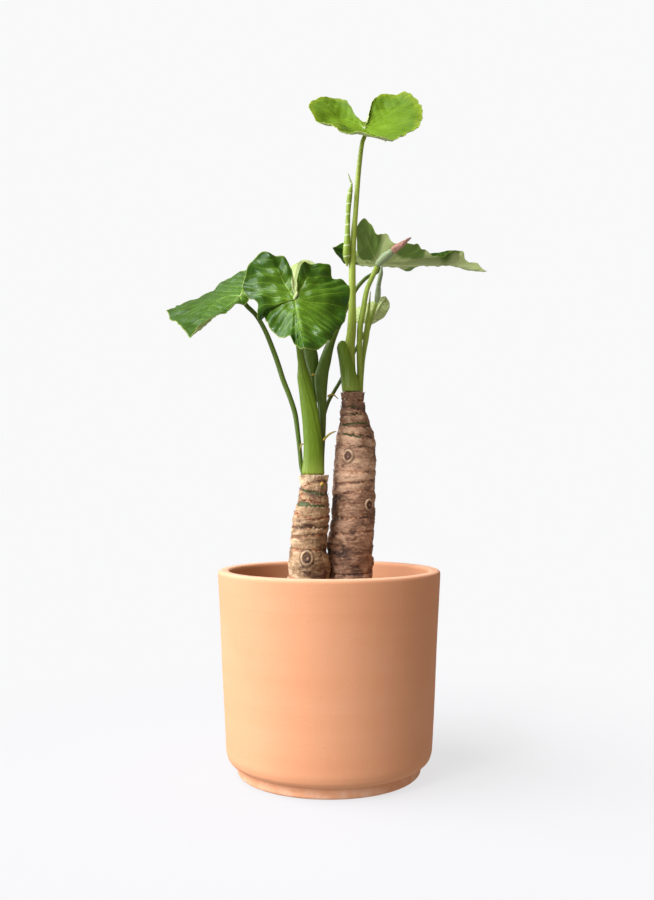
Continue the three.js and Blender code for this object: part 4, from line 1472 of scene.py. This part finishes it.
def vein_numbers(places, ribs, spacing, slant):
    """Distance to the nearest rib, running count of side veins, and the gap between them."""
    alpha = math.radians(slant)
    radius = np.maximum(np.linalg.norm(places, axis=1), 0.5)
    turn = np.arctan2(places[:, 0], places[:, 1])
    rib_gap = np.full(len(places), 50.0)
    fields = []
    for rib in ribs:
        ahead, beside, gap, whole = along_rib(places, rib)
        narrow = np.clip(1 - 0.72 * ahead / whole, 0.22, 1)
        rib_gap = np.minimum(rib_gap, np.where(ahead > whole, 50, gap / narrow))
        start = ahead - np.abs(beside) / math.tan(alpha) - 0.0045 * beside**2
        fields.append(start)
    count, gaps = np.zeros(len(places)), np.full(len(places), spacing * math.sin(alpha))
    for lobe in (1, 2):
        end = ribs[lobe][-1]
        opening = abs(math.atan2(end[0], end[1]))
        side = np.sign(turn + 1e-9) == math.copysign(1, end[0])
        lean = math.sin(alpha - opening / 2) / math.sin(alpha)
        steps = 0.5 if opening / 2 - alpha < math.radians(14) else 1.0
        rate = steps / max(-lean, 0.15)
        middle = np.abs(turn) <= opening / 2
        for field, mine in ((fields[0], middle), (fields[lobe], ~middle)):
            chosen = side & mine
            value = np.where(field >= 0, field / spacing, rate * field / radius)
            count[chosen] = value[chosen]
            wide = np.where(field >= 0, spacing * math.sin(alpha), radius * math.sin(alpha) / rate)
            gaps[chosen] = wide[chosen]
    return rib_gap, count, gaps


def margin_line(blade, form):
    """The finely toothed margin: its points, their travel round it, and the whole length."""
    turns = np.linspace(0, 1, 3001)
    travel = lengths(round_curve(blade.margin, turns))
    columns = int(np.clip(travel[-1] / MARGIN_STEP, 240, 400))
    even = travel[-1] * np.arange(columns) / columns
    edge = round_curve(blade.margin, np.interp(even, travel, turns))
    ring = on_ring(TAU * even / travel[-1], 1)
    ring *= travel[-1] / TAU / MM
    tooth = waves(ring, 24, form["seed"], 9) * 0.9 + waves(ring, 7, form["seed"] + 1, 12) * 0.12
    span = np.linalg.norm(edge, axis=1)
    edge = edge * (1 + (tooth * MM / np.maximum(span, 12 * MM)))[:, None]
    if "tail" in form:
        flat = blade.flat(edge) / MM
        thin = smooth(form["tail"], form["tail"] + 8, flat[:, 1])
        edge -= (thin * 0.7 * flat[:, 0] * MM)[:, None] * blade.aside
        edge += (thin * np.sin(flat[:, 1] / 3.1) * 1.3 * MM)[:, None] * blade.normal
    return edge, span, even, travel[-1], ring


def rib_lines(blade, form):
    """The midrib and both lobes' ribs as curves in the leaf's plane."""
    ribs = []
    t = np.linspace(0, 1, 70)[:, None]
    for k, (heading, part) in enumerate(form["ribs"]):
        end = blade.flat_heading(heading) / MM * part
        middle = end * 0.5
        if k == 0 and "bend" in form:
            middle = blade.flat_heading(form["bend"][0]) / MM * form["bend"][1]
        control = 2 * middle - 0.5 * end
        ribs.append(2 * t * (1 - t) * control + t * t * end)
    return ribs


def sheet_faces(rows, columns):
    """Upper sheet, rim and under sheet, closed by two poles that come last."""
    top = rows * columns
    under = top + columns
    faces = grid_faces(rows, columns, 0, flip=True) + grid_faces(rows, columns, under)
    j = np.arange(columns)
    onward = (j + 1) % columns
    last_over, last_under = top - columns, under + top - columns
    for first, second in ((last_over, top), (top, last_under)):
        band = np.stack([first + j, first + onward, second + onward, second + j], axis=-1)
        faces += band[:, ::-1].tolist()
    pole = under + top
    return faces + fan_faces(pole, 0, columns, flip=True) + fan_faces(pole + 1, under, columns)


def roll_margin(sheet, blade, form, shares, edge, even, whole):
    """Bends stretches of the margin down and in."""
    outward = unit(edge - (edge @ blade.normal)[:, None] * blade.normal)[None]
    for heading, half, start, drop, tuck in form.get("rolls", ()):
        middle = even[int(np.argmax(unit(edge) @ unit(np.array(heading, float))))]
        apart = np.abs((even - middle + whole / 2) % whole - whole / 2)
        bend = np.clip((shares - start) / (1 - start), 0, 1) ** 2 * hump(apart / MM, half)
        sheet = sheet - (bend * drop * MM)[..., None] * blade.normal
        sheet = sheet - (bend * tuck * drop * MM)[..., None] * outward
    return sheet


def make_blade(label, look, finish):
    """A blade: a curled, quilted sheet with ribs and side veins, thinner towards its margin."""
    form = BLADES[label]
    seed = form["seed"]
    node, stalk = label + "_leaf_blade", label + "_leaf_stalk"
    blade = Blade(node, stalk)
    blade.set_axes(form["tip"])
    edge, span, even, whole, ring = margin_line(blade, form)
    columns, rows = len(edge), int(np.clip(span.max() / BLADE_STEP, 30, 64))
    shares = (np.arange(1, rows + 1) / rows)[:, None]
    lift = (edge @ blade.normal)[None]
    planar = edge - (edge @ blade.normal)[:, None] * blade.normal
    sheet = shares[..., None] * planar + (lift * shares**blade.curl)[..., None] * blade.normal
    flat = blade.flat(sheet) / MM
    places = flat.reshape(-1, 2)
    rib, count, gap = vein_numbers(places, rib_lines(blade, form), form["spacing"], form["slant"])
    rib, count, gap = (v.reshape(rows, columns) for v in (rib, count, gap))
    radius = np.linalg.norm(flat, axis=-1)
    vein = np.abs(count - np.round(count)) * gap
    calm = smooth(2, 14, radius)
    swell = np.minimum(gap, 11) / 11 * np.sin(np.pi * count) ** 2 * calm * (1 - 0.35 * shares**4)
    height = look.quilting / MM * swell - hump(rib, 2.2) * 0.55
    ripple = waves(ring, 30, seed + 2, 10) * 0.75 + waves(ring, 14, seed + 3, 10) * 0.4
    height = height + shares**2.6 * ripple * look.ripple / MM * form["ripple"]
    height = height + waves(flat, 22, seed + 4, 12) * form.get("swell", 0.5) * calm
    height = height + waves(flat, 7, seed + 5, 16) * 0.05 * calm
    for heading, share_out, reach, lift_by in form.get("folds", ()):
        spot = blade.flat_heading(heading) / MM * share_out
        height = height + lift_by * hump(np.linalg.norm(flat - spot, axis=-1), reach)
    sheet = sheet + (height * MM)[..., None] * blade.normal
    sheet = roll_margin(sheet, blade, form, shares, edge, even, whole)
    step_round = np.roll(sheet, -1, axis=1) - np.roll(sheet, 1, axis=1)
    normals = unit(np.cross(np.gradient(sheet, axis=0), step_round))
    if (normals.mean(axis=(0, 1)) @ blade.normal) < 0:
        normals = -normals
    depth = look.thickness / MM * (1 - 0.55 * shares) + 0.1
    keel = 1.5 * hump(rib, 1.9) * (1 - 0.5 * shares) * smooth(0, 3, radius)
    keel = (keel + 0.35 * hump(vein, 1.2) * calm) * (1 - smooth(0.93, 1, shares))
    under = sheet - ((depth + keel) * MM)[..., None] * normals
    rim = (sheet[-1] + under[-1]) / 2 + 0.18 * MM * unit(sheet[-1] - sheet[-2])
    low_root = -blade.normal[None] * (look.thickness + 0.6 * MM)
    parts = [sheet.reshape(-1, 3), rim, under.reshape(-1, 3), np.zeros((1, 3)), low_root]
    points = np.vstack(parts) + blade.root
    faced = np.zeros(radius.shape)
    for heading, share_out, reach, strength_here in form.get("turned", ()):
        spot = blade.flat_heading(heading) / MM * share_out
        near = smooth(1.25, 0.8, np.linalg.norm(flat - spot, axis=-1) / reach)
        faced = np.maximum(faced, near * strength_here)
    from_edge = (1 - shares) * span[None] / MM + 4 * hump(radius, 7)
    wide = np.broadcast_to(shares, (rows, columns))

    def both(values, at_poles=0):
        """The same values on both sheets, with the last row's on the rim."""
        return np.concatenate([values.ravel(), values[-1], values.ravel(), [at_poles] * 2])

    numbers = {
        "rib": both(rib),
        "lateral": both(count),
        "gap": both(gap),
        "reach": both(wide),
        "edge": both(from_edge, 30),
        "upper": np.concatenate([np.ones(faced.size + columns), faced.ravel(), [1, 0]]),
    }
    plane = np.concatenate([places, places[-columns:], places, np.zeros((2, 2))]) / MAP_WIDTH
    piece = add_piece(label + "_leaf", points, sheet_faces(rows, columns), finish, numbers, plane)
    settle(piece, node)


# ---- stalks, sheaths and flowers ----------------------------------------------------------------


def make_stalk(name, node, slot_name, finish, shape, rows=None, sides=40, upright=True, end=1.1):
    """Sweeps a fine skin along a packed stalk; `shape(share, heading, along)` scales its girth, and
    `end` is how many millimetres it reaches past the stalk's last ring."""
    stalk = Stalk(node, upright)
    rows = rows or int(np.clip(stalk.length() / STALK_STEP, 24, 260))
    centres, spokes, shares = stalk.skin(rows, sides, 0.3 * MM, end * MM)
    heading = np.arctan2(spokes[..., 1], spokes[..., 0])
    along = np.broadcast_to((lengths(centres) / MM)[:, None], heading.shape)
    part = np.broadcast_to(shares[:, None], heading.shape)
    close = np.minimum(along, along[-1, 0] - along)
    factor = shape(part, heading, along) * (0.72 + 0.28 * smooth(0, 1.2, close))
    points = centres[:, None] + spokes * factor[..., None]
    ends = [a + (a - b) * 0.15 for a, b in (centres[:2], centres[:-3:-1])]
    points = np.vstack([points.reshape(-1, 3), ends])
    turn = np.broadcast_to(np.abs(np.linspace(-1, 1, sides, endpoint=False))[None], heading.shape)
    numbers = {
        "along": np.append(along.ravel(), [0, along[-1, 0]]),
        "share": np.append(part.ravel(), [0, 1]),
        "turn": np.append(turn.ravel(), [0, 0]),
    }
    piece = add_piece(name, points, tube_faces(rows, sides), finish, numbers)
    settle(piece, node)


def make_leaf_stalk(label, tone, finish, shape, sides, piece=None):
    """The stalk of one leaf; `tone` is not used."""
    node, name = label + "_leaf_stalk", piece or label + "_stalk"
    make_stalk(name, node, "stalk_" + tone, finish, shape, sides=sides)


def grooves(depth, number, seed):
    """Fine grooves along a stalk, drifting slowly."""

    def shape(part, heading, along):
        ring = on_ring(heading, 10, along / 14)
        drifting = number * heading + waves(ring, 12, seed)
        return 1 + depth * np.cos(drifting) + depth * waves(ring, 7, seed + 1)

    return shape


def sheath_shape(part, heading, along):
    """A wide sheath whose loose edge crosses its front from low right to high left."""
    base = grooves(0.008, 18, 31)(part, heading, along)
    front = turned_from(heading, -math.pi / 2)
    edge_at = 0.95 - 1.35 * smooth(0.1, 0.72, part)
    wrapped = smooth(0.04, 0.16, part) * (1 - smooth(0.66, 0.8, part))
    ridge = hump(front - edge_at, 0.12) * wrapped * 0.045
    tuck = hump(front - edge_at - 0.3, 0.22) * wrapped * 0.06
    return base + ridge - tuck


def rolled_shape(part, heading, along):
    """A young leaf still rolled up: a spiral lip and small cross ridges."""
    lip = (heading / TAU + part * 1.6) % 1
    ridge = hump(lip - 0.5, 0.07) * 0.16 - hump(lip - 0.62, 0.09) * 0.12
    field = np.stack([along, np.cos(heading) * 2, np.sin(heading) * 2], axis=-1)
    cross = waves(field, (7, 9, 9), 51) * 0.03
    full = 0.85 * smooth(0.02, 0.12, part) * (1 - smooth(0.55, 0.85, part))
    return 1 + ridge + cross + full


def spathe_shape(part, heading, along):
    """A furled tube with the lip of its wrap down one side and fine grooves."""
    lip = (heading / TAU + 0.35 * part) % 1
    wrap = 0.07 * hump(lip - 0.5, 0.05) - 0.05 * hump(lip - 0.58, 0.07)
    return 1 + wrap + 0.012 * np.cos(14 * heading)


def withered_shape(part, heading, along):
    """A shrivelled limb: twisted folds and wrinkles."""
    twist = 0.14 * np.cos(heading * 3 + part * 9) * smooth(0, 0.3, part)
    wrinkles = 0.09 * waves(on_ring(heading, 4, along), (4, 4, 5), 61)
    return 1 + twist + wrinkles - 0.05 * np.cos(2 * heading)


def make_old_sheath(finish):
    """The open sheath of a shed leaf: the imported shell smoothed, ribbed, with a ragged top."""
    knots = Knots("old_sheath")
    piece = add_piece("old_sheath_shell", knots.points, knots.faces, finish)
    smoother = piece.modifiers.new("Smooth", "SUBSURF")
    smoother.levels = smoother.render_levels = 3
    apply_modifiers(piece)
    mesh = piece.data
    co, normals = vertex_values(mesh, "co"), vertex_values(mesh, "normal")
    low, high = co[:, 2].min(), co[:, 2].max()
    middle = co.mean(axis=0)
    heading = np.arctan2(co[:, 1] - middle[1], co[:, 0] - middle[0])
    part = (co[:, 2] - low) / (high - low)
    ribbed = waves(on_ring(heading, 12, co[:, 2] / MM * 0.12), 4.5, 71, 14) * 0.14 * MM
    out = ribbed + waves(co / MM, 16, 72, 8) * 0.25 * MM * part
    co = co + normals * out[:, None]
    ragged = waves(on_ring(heading, 12), 5, 73, 12)
    co[:, 2] += ragged * 0.5 * MM * smooth(0.5, 1, part)
    mesh.vertices.foreach_set("co", co.ravel())
    numbers = {"along": (co[:, 2] - low) / MM, "share": part, "turn": np.abs(heading) / math.pi}
    for key, values in numbers.items():
        write_number(mesh, key, values)
    mesh.update()
    settle(piece, "old_sheath")


# ---- stage --------------------------------------------------------------------------------------


def make_floor(look):
    """A wide pale disc that glows a little, so that only soft shadows show on it."""
    sides, rings = 96, np.array([0.3, 0.7, 1.4, 2.5, 4.5, 8.0, 14.0])
    angles = TAU * np.arange(sides) / sides
    disc = on_ring(angles, rings[:, None], 0.0).reshape(-1, 3)
    points = np.vstack([np.zeros((1, 3)), disc])
    faces = fan_faces(0, 1, sides, flip=True) + grid_faces(len(rings), sides, 1, flip=True)
    f = Finish("Pale floor")
    where = f.place()
    away = f.length(where)
    diffuse = f.node("ShaderNodeBsdfDiffuse", {}, {"Color": look.floor})
    seen = f.node("ShaderNodeLightPath", output="Is Camera Ray")
    strength_seen = seen * 0.35 + 0.65
    glow = f.node("ShaderNodeEmission", {}, {"Color": look.backdrop, "Strength": strength_seen})
    share = away.rise(0.16, 0.75) * 0.25 + 0.75
    finish = f.show(f.node("ShaderNodeMixShader", {}, (share, diffuse, glow)))
    add_piece("pale_floor", points, faces, finish)


def make_surround(look):
    """A pale backdrop that lights the object more from the left than from the right."""
    f = Finish("Pale studio", world=True)
    across = f.axis(f.node("ShaderNodeTexCoord", output="Generated"), "X")
    ramp = f.node("ShaderNodeMapRange", {}, (across, -1.0, 1.0, 0.0, 1.0))
    tone = f.mix(ramp, SURROUND_LEFT, SURROUND_RIGHT)
    lit = f.node("ShaderNodeBackground", {}, (tone, look.fill))
    backdrop = f.node("ShaderNodeBackground", {}, (look.backdrop,))
    seen = f.node("ShaderNodeLightPath", output="Is Camera Ray")
    mixed = f.node("ShaderNodeMixShader", {}, (seen, lit, backdrop))
    bpy.context.scene.world = f.show(mixed, "ShaderNodeOutputWorld")


def make_lights(look):
    """A broad soft light and a small bright one, both from the left."""
    for name, part, spread, heading, height in LAMPS:
        lamp = bpy.data.lights.new(name, "SUN")
        lamp.energy, lamp.angle = look.key * part, math.radians(spread)
        lamp.color = LAMP_COLOUR
        light = bpy.data.objects.new(name, lamp)
        bpy.context.scene.collection.objects.link(light)
        turn, rise = math.radians(heading), math.radians(height)
        level = math.cos(rise)
        toward = Vector((math.sin(turn) * level, -math.cos(turn) * level, math.sin(rise)))
        light.rotation_euler = toward.to_track_quat("Z", "Y").to_euler()


def make_camera():
    """A nearly level camera a little above the pot's rim, with the whole plant in view."""
    data = bpy.data.cameras.new("View")
    data.lens, data.sensor_width = CAMERA_LENS, CAMERA_SENSOR
    camera = bpy.data.objects.new("View", data)
    bpy.context.scene.collection.objects.link(camera)
    camera.location = CAMERA_PLACE
    camera.rotation_euler = (math.radians(CAMERA_TILT), 0, 0)
    bpy.context.scene.camera = camera


# ---- operators ----------------------------------------------------------------------------------


class ALOCASIA_OT_stage(bpy.types.Operator):
    """Add the pale floor, the soft light and the camera"""

    bl_idname = "alocasia.stage"
    bl_label = "Stage"

    def execute(self, context):
        look = context.scene.alocasia_stage
        make_camera()
        make_floor(look)
        make_surround(look)
        make_lights(look)
        context.scene.view_settings.view_transform = "Standard"
        return {"FINISHED"}


class ALOCASIA_OT_pot(bpy.types.Operator):
    """Turn the clay pot with its turning marks, pits and scuffs"""

    bl_idname = "alocasia.pot"
    bl_label = "Pot"

    def execute(self, context):
        make_pot(context.scene.alocasia_pot)
        return {"FINISHED"}


class ALOCASIA_OT_filling(bpy.types.Operator):
    """Fill the pot with gravel and potting mix"""

    bl_idname = "alocasia.filling"
    bl_label = "Soil and gravel"

    def execute(self, context):
        lumps = lump_garden()
        make_soil(context.scene.alocasia_fill, lumps)
        make_gravel(context.scene.alocasia_fill, lumps)
        dress_screen(context.scene.alocasia_fill)
        return {"FINISHED"}


class ALOCASIA_OT_trunks(bpy.types.Operator):
    """Grow both trunks with their papery bands, eyes, splits and shreds"""

    bl_idname = "alocasia.trunks"
    bl_label = "Trunks"

    def execute(self, context):
        look = context.scene.alocasia_bark
        shreds = shred_garden()
        tan = bark_finish("Tan bark", look, (look.tan_dark, look.tan, look.tan_pale), 0.75)
        brown = bark_finish("Brown bark", look, (look.brown_dark, look.brown, look.brown_pale), 0.4)
        left_slits = [
            (0.865, 262, 62, 1.5, -0.9),
            (0.765, 262, 70, 1.7, -0.3),
            (0.775, 228, 26, 3.4, 0.0),
        ]
        right_slits = [
            (0.928, 262, 26, 1.1, 0.0),
            (0.891, 278, 30, 1.2, 0.0),
            (0.845, 268, 62, 1.4, 0.3),
            (0.789, 255, 36, 1.4, -1.2),
        ]
        make_trunk("left_trunk", look, tan, 101, left_slits, 15, shreds)
        make_trunk("right_trunk", look, brown, 131, right_slits, 195, shreds)
        make_bud(context.scene.alocasia_flowers, look)
        return {"FINISHED"}


class ALOCASIA_OT_leaves(bpy.types.Operator):
    """Spread the six leaf blades with their ribs, veins and wavy margins"""

    bl_idname = "alocasia.leaves"
    bl_label = "Leaf blades"

    def execute(self, context):
        look = context.scene.alocasia_leaves
        dark, bright, young = (
            leaf_finish(name, look, *shades, *surface)
            for name, shades, surface in (
                ("Dark leaf", (look.dark, look.dark_light, look.vein), (0.3, 0.2, 0.45)),
                ("Bright leaf", (look.bright, look.bright_light, look.vein), (0.34, 0.08, 0.35)),
                (
                    "Young leaf",
                    (look.young, look.young_light, look.young_vein),
                    (0.5, 0.0, 0.5, 0.4),
                ),
            )
        )
        for label, finish, slot_name in (
            ("front", dark, "leaf_dark"),
            ("left", bright, "leaf_bright"),
            ("right", bright, "leaf_bright"),
            ("crown", young, "leaf_bright"),
            ("back", bright, "leaf_pale"),
            ("rear", bright, "leaf_pale"),
        ):
            make_blade(label, look, finish)
        return {"FINISHED"}


class ALOCASIA_OT_stalks(bpy.types.Operator):
    """Grow the leaf stalks, the rolled leaf and the open sheath"""

    bl_idname = "alocasia.stalks"
    bl_label = "Stalks and sheaths"

    def execute(self, context):
        look = context.scene.alocasia_stalks
        bright = stalk_finish("Bright stalk", look.bright_light, look.pale, look.streak)
        sheath = stalk_finish("Sheath", look.bright, look.bright_light, look.pale, 0.28, 26.0)
        dark = stalk_finish("Dark stalk", look.dark, look.dark_light, look.streak)
        shades = (look.bright_light, look.streak, look.pale)
        rolled = stalk_finish("Rolled leaf", *shades, 0.4, 20.0, look.mark)
        tall = stalk_finish("Tall stalk", look.tall, look.pale, look.streak, 0.4)
        make_leaf_stalk("front", "bright", sheath, sheath_shape, 120, piece="front_sheath")
        make_leaf_stalk("crown", "bright", tall, grooves(look.groove, 9, 41), 56)
        for seed, label in enumerate(("left", "back", "right", "rear")):
            make_leaf_stalk(label, "dark", dark, grooves(look.groove, 7, 81 + seed), 40)
        make_stalk("rolled_blade", "rolled_leaf", "stalk_bright", rolled, rolled_shape, sides=56)
        make_stalk("bract", "flower_bract", "stalk_bright", bright, grooves(0.03, 5, 91))
        make_old_sheath(sheath)
        return {"FINISHED"}


class ALOCASIA_OT_flowers(bpy.types.Operator):
    """Add both flowers and the withered bract tips"""

    bl_idname = "alocasia.flowers"
    bl_label = "Flowers and dry tips"

    def execute(self, context):
        look, stalks = context.scene.alocasia_flowers, context.scene.alocasia_stalks
        stem = stalk_finish("Flower stalk", stalks.bright_light, stalks.pale, stalks.streak)
        spathe = stalk_finish("Spathe", look.green_deep, look.green, stalks.mark, 0.42)
        limb = dry_finish("Withered limb", look.withered, look.withered_light, look.grey, 3.0)
        straw = dry_finish("Dry tips", look.straw, stalks.streak, look.straw_dark, 2.0)
        for number in (1, 2):
            name = f"flower_{number}_"
            shape = grooves(stalks.groove, 6, 95 + number)
            make_stalk(name + "stem", name + "stalk", "stalk_bright", stem, shape)
            make_stalk(name + "spathe", name + "tube", "spathe", spathe, spathe_shape, 60, 64)
        brown, green = (limb, withered_shape, 90, 64), (spathe, spathe_shape, 60, 56)
        make_stalk("flower_1_withered", "flower_1_limb", "withered_spathe", *brown)
        make_stalk("flower_2_blade", "flower_2_limb", "spathe", *green)
        for kind in ("yellow", "orange", "cream", "brown"):
            node = "withered_tip_" + kind
            make_stalk(node + "_curl", node, "straw", straw, grooves(0.08, 3, 97), 40, 24, False, 0.0)
        return {"FINISHED"}


class ALOCASIA_PT_panel(bpy.types.Panel):
    """Lists the pieces of the plant and their sizes and colours"""

    bl_label = "Potted Alocasia"
    bl_idname = "ALOCASIA_PT_panel"
    bl_space_type = "VIEW_3D"
    bl_region_type = "UI"
    bl_category = "Alocasia"

    def draw(self, context):
        for operator, look in STEPS:
            box = self.layout.box()
            box.operator(operator.bl_idname)
            group = getattr(context.scene, look)
            for key in group.__annotations__:
                box.prop(group, key)


LOOKS = {
    "alocasia_pot": PotLook,
    "alocasia_fill": FillLook,
    "alocasia_bark": BarkLook,
    "alocasia_leaves": LeafLook,
    "alocasia_stalks": StalkLook,
    "alocasia_flowers": FlowerLook,
    "alocasia_stage": StageLook,
}
STEPS = (
    (ALOCASIA_OT_stage, "alocasia_stage"),
    (ALOCASIA_OT_pot, "alocasia_pot"),
    (ALOCASIA_OT_filling, "alocasia_fill"),
    (ALOCASIA_OT_trunks, "alocasia_bark"),
    (ALOCASIA_OT_leaves, "alocasia_leaves"),
    (ALOCASIA_OT_stalks, "alocasia_stalks"),
    (ALOCASIA_OT_flowers, "alocasia_flowers"),
)


def register():
    for look in LOOKS.values():
        bpy.utils.register_class(look)
    for key, look in LOOKS.items():
        setattr(bpy.types.Scene, key, bpy.props.PointerProperty(type=look))
    for operator, _ in STEPS:
        bpy.utils.register_class(operator)
    bpy.utils.register_class(ALOCASIA_PT_panel)


def unregister():
    bpy.utils.unregister_class(ALOCASIA_PT_panel)
    for operator, _ in STEPS:
        bpy.utils.unregister_class(operator)
    for key, look in LOOKS.items():
        delattr(bpy.types.Scene, key)
        bpy.utils.unregister_class(look)


def main():
    register()
    bpy.ops.alocasia.stage()
    bpy.ops.alocasia.pot()
    bpy.ops.alocasia.filling()
    bpy.ops.alocasia.trunks()
    bpy.ops.alocasia.leaves()
    bpy.ops.alocasia.stalks()
    bpy.ops.alocasia.flowers()
    bpy.context.view_layer.update()


if __name__ == "__main__":
    main()
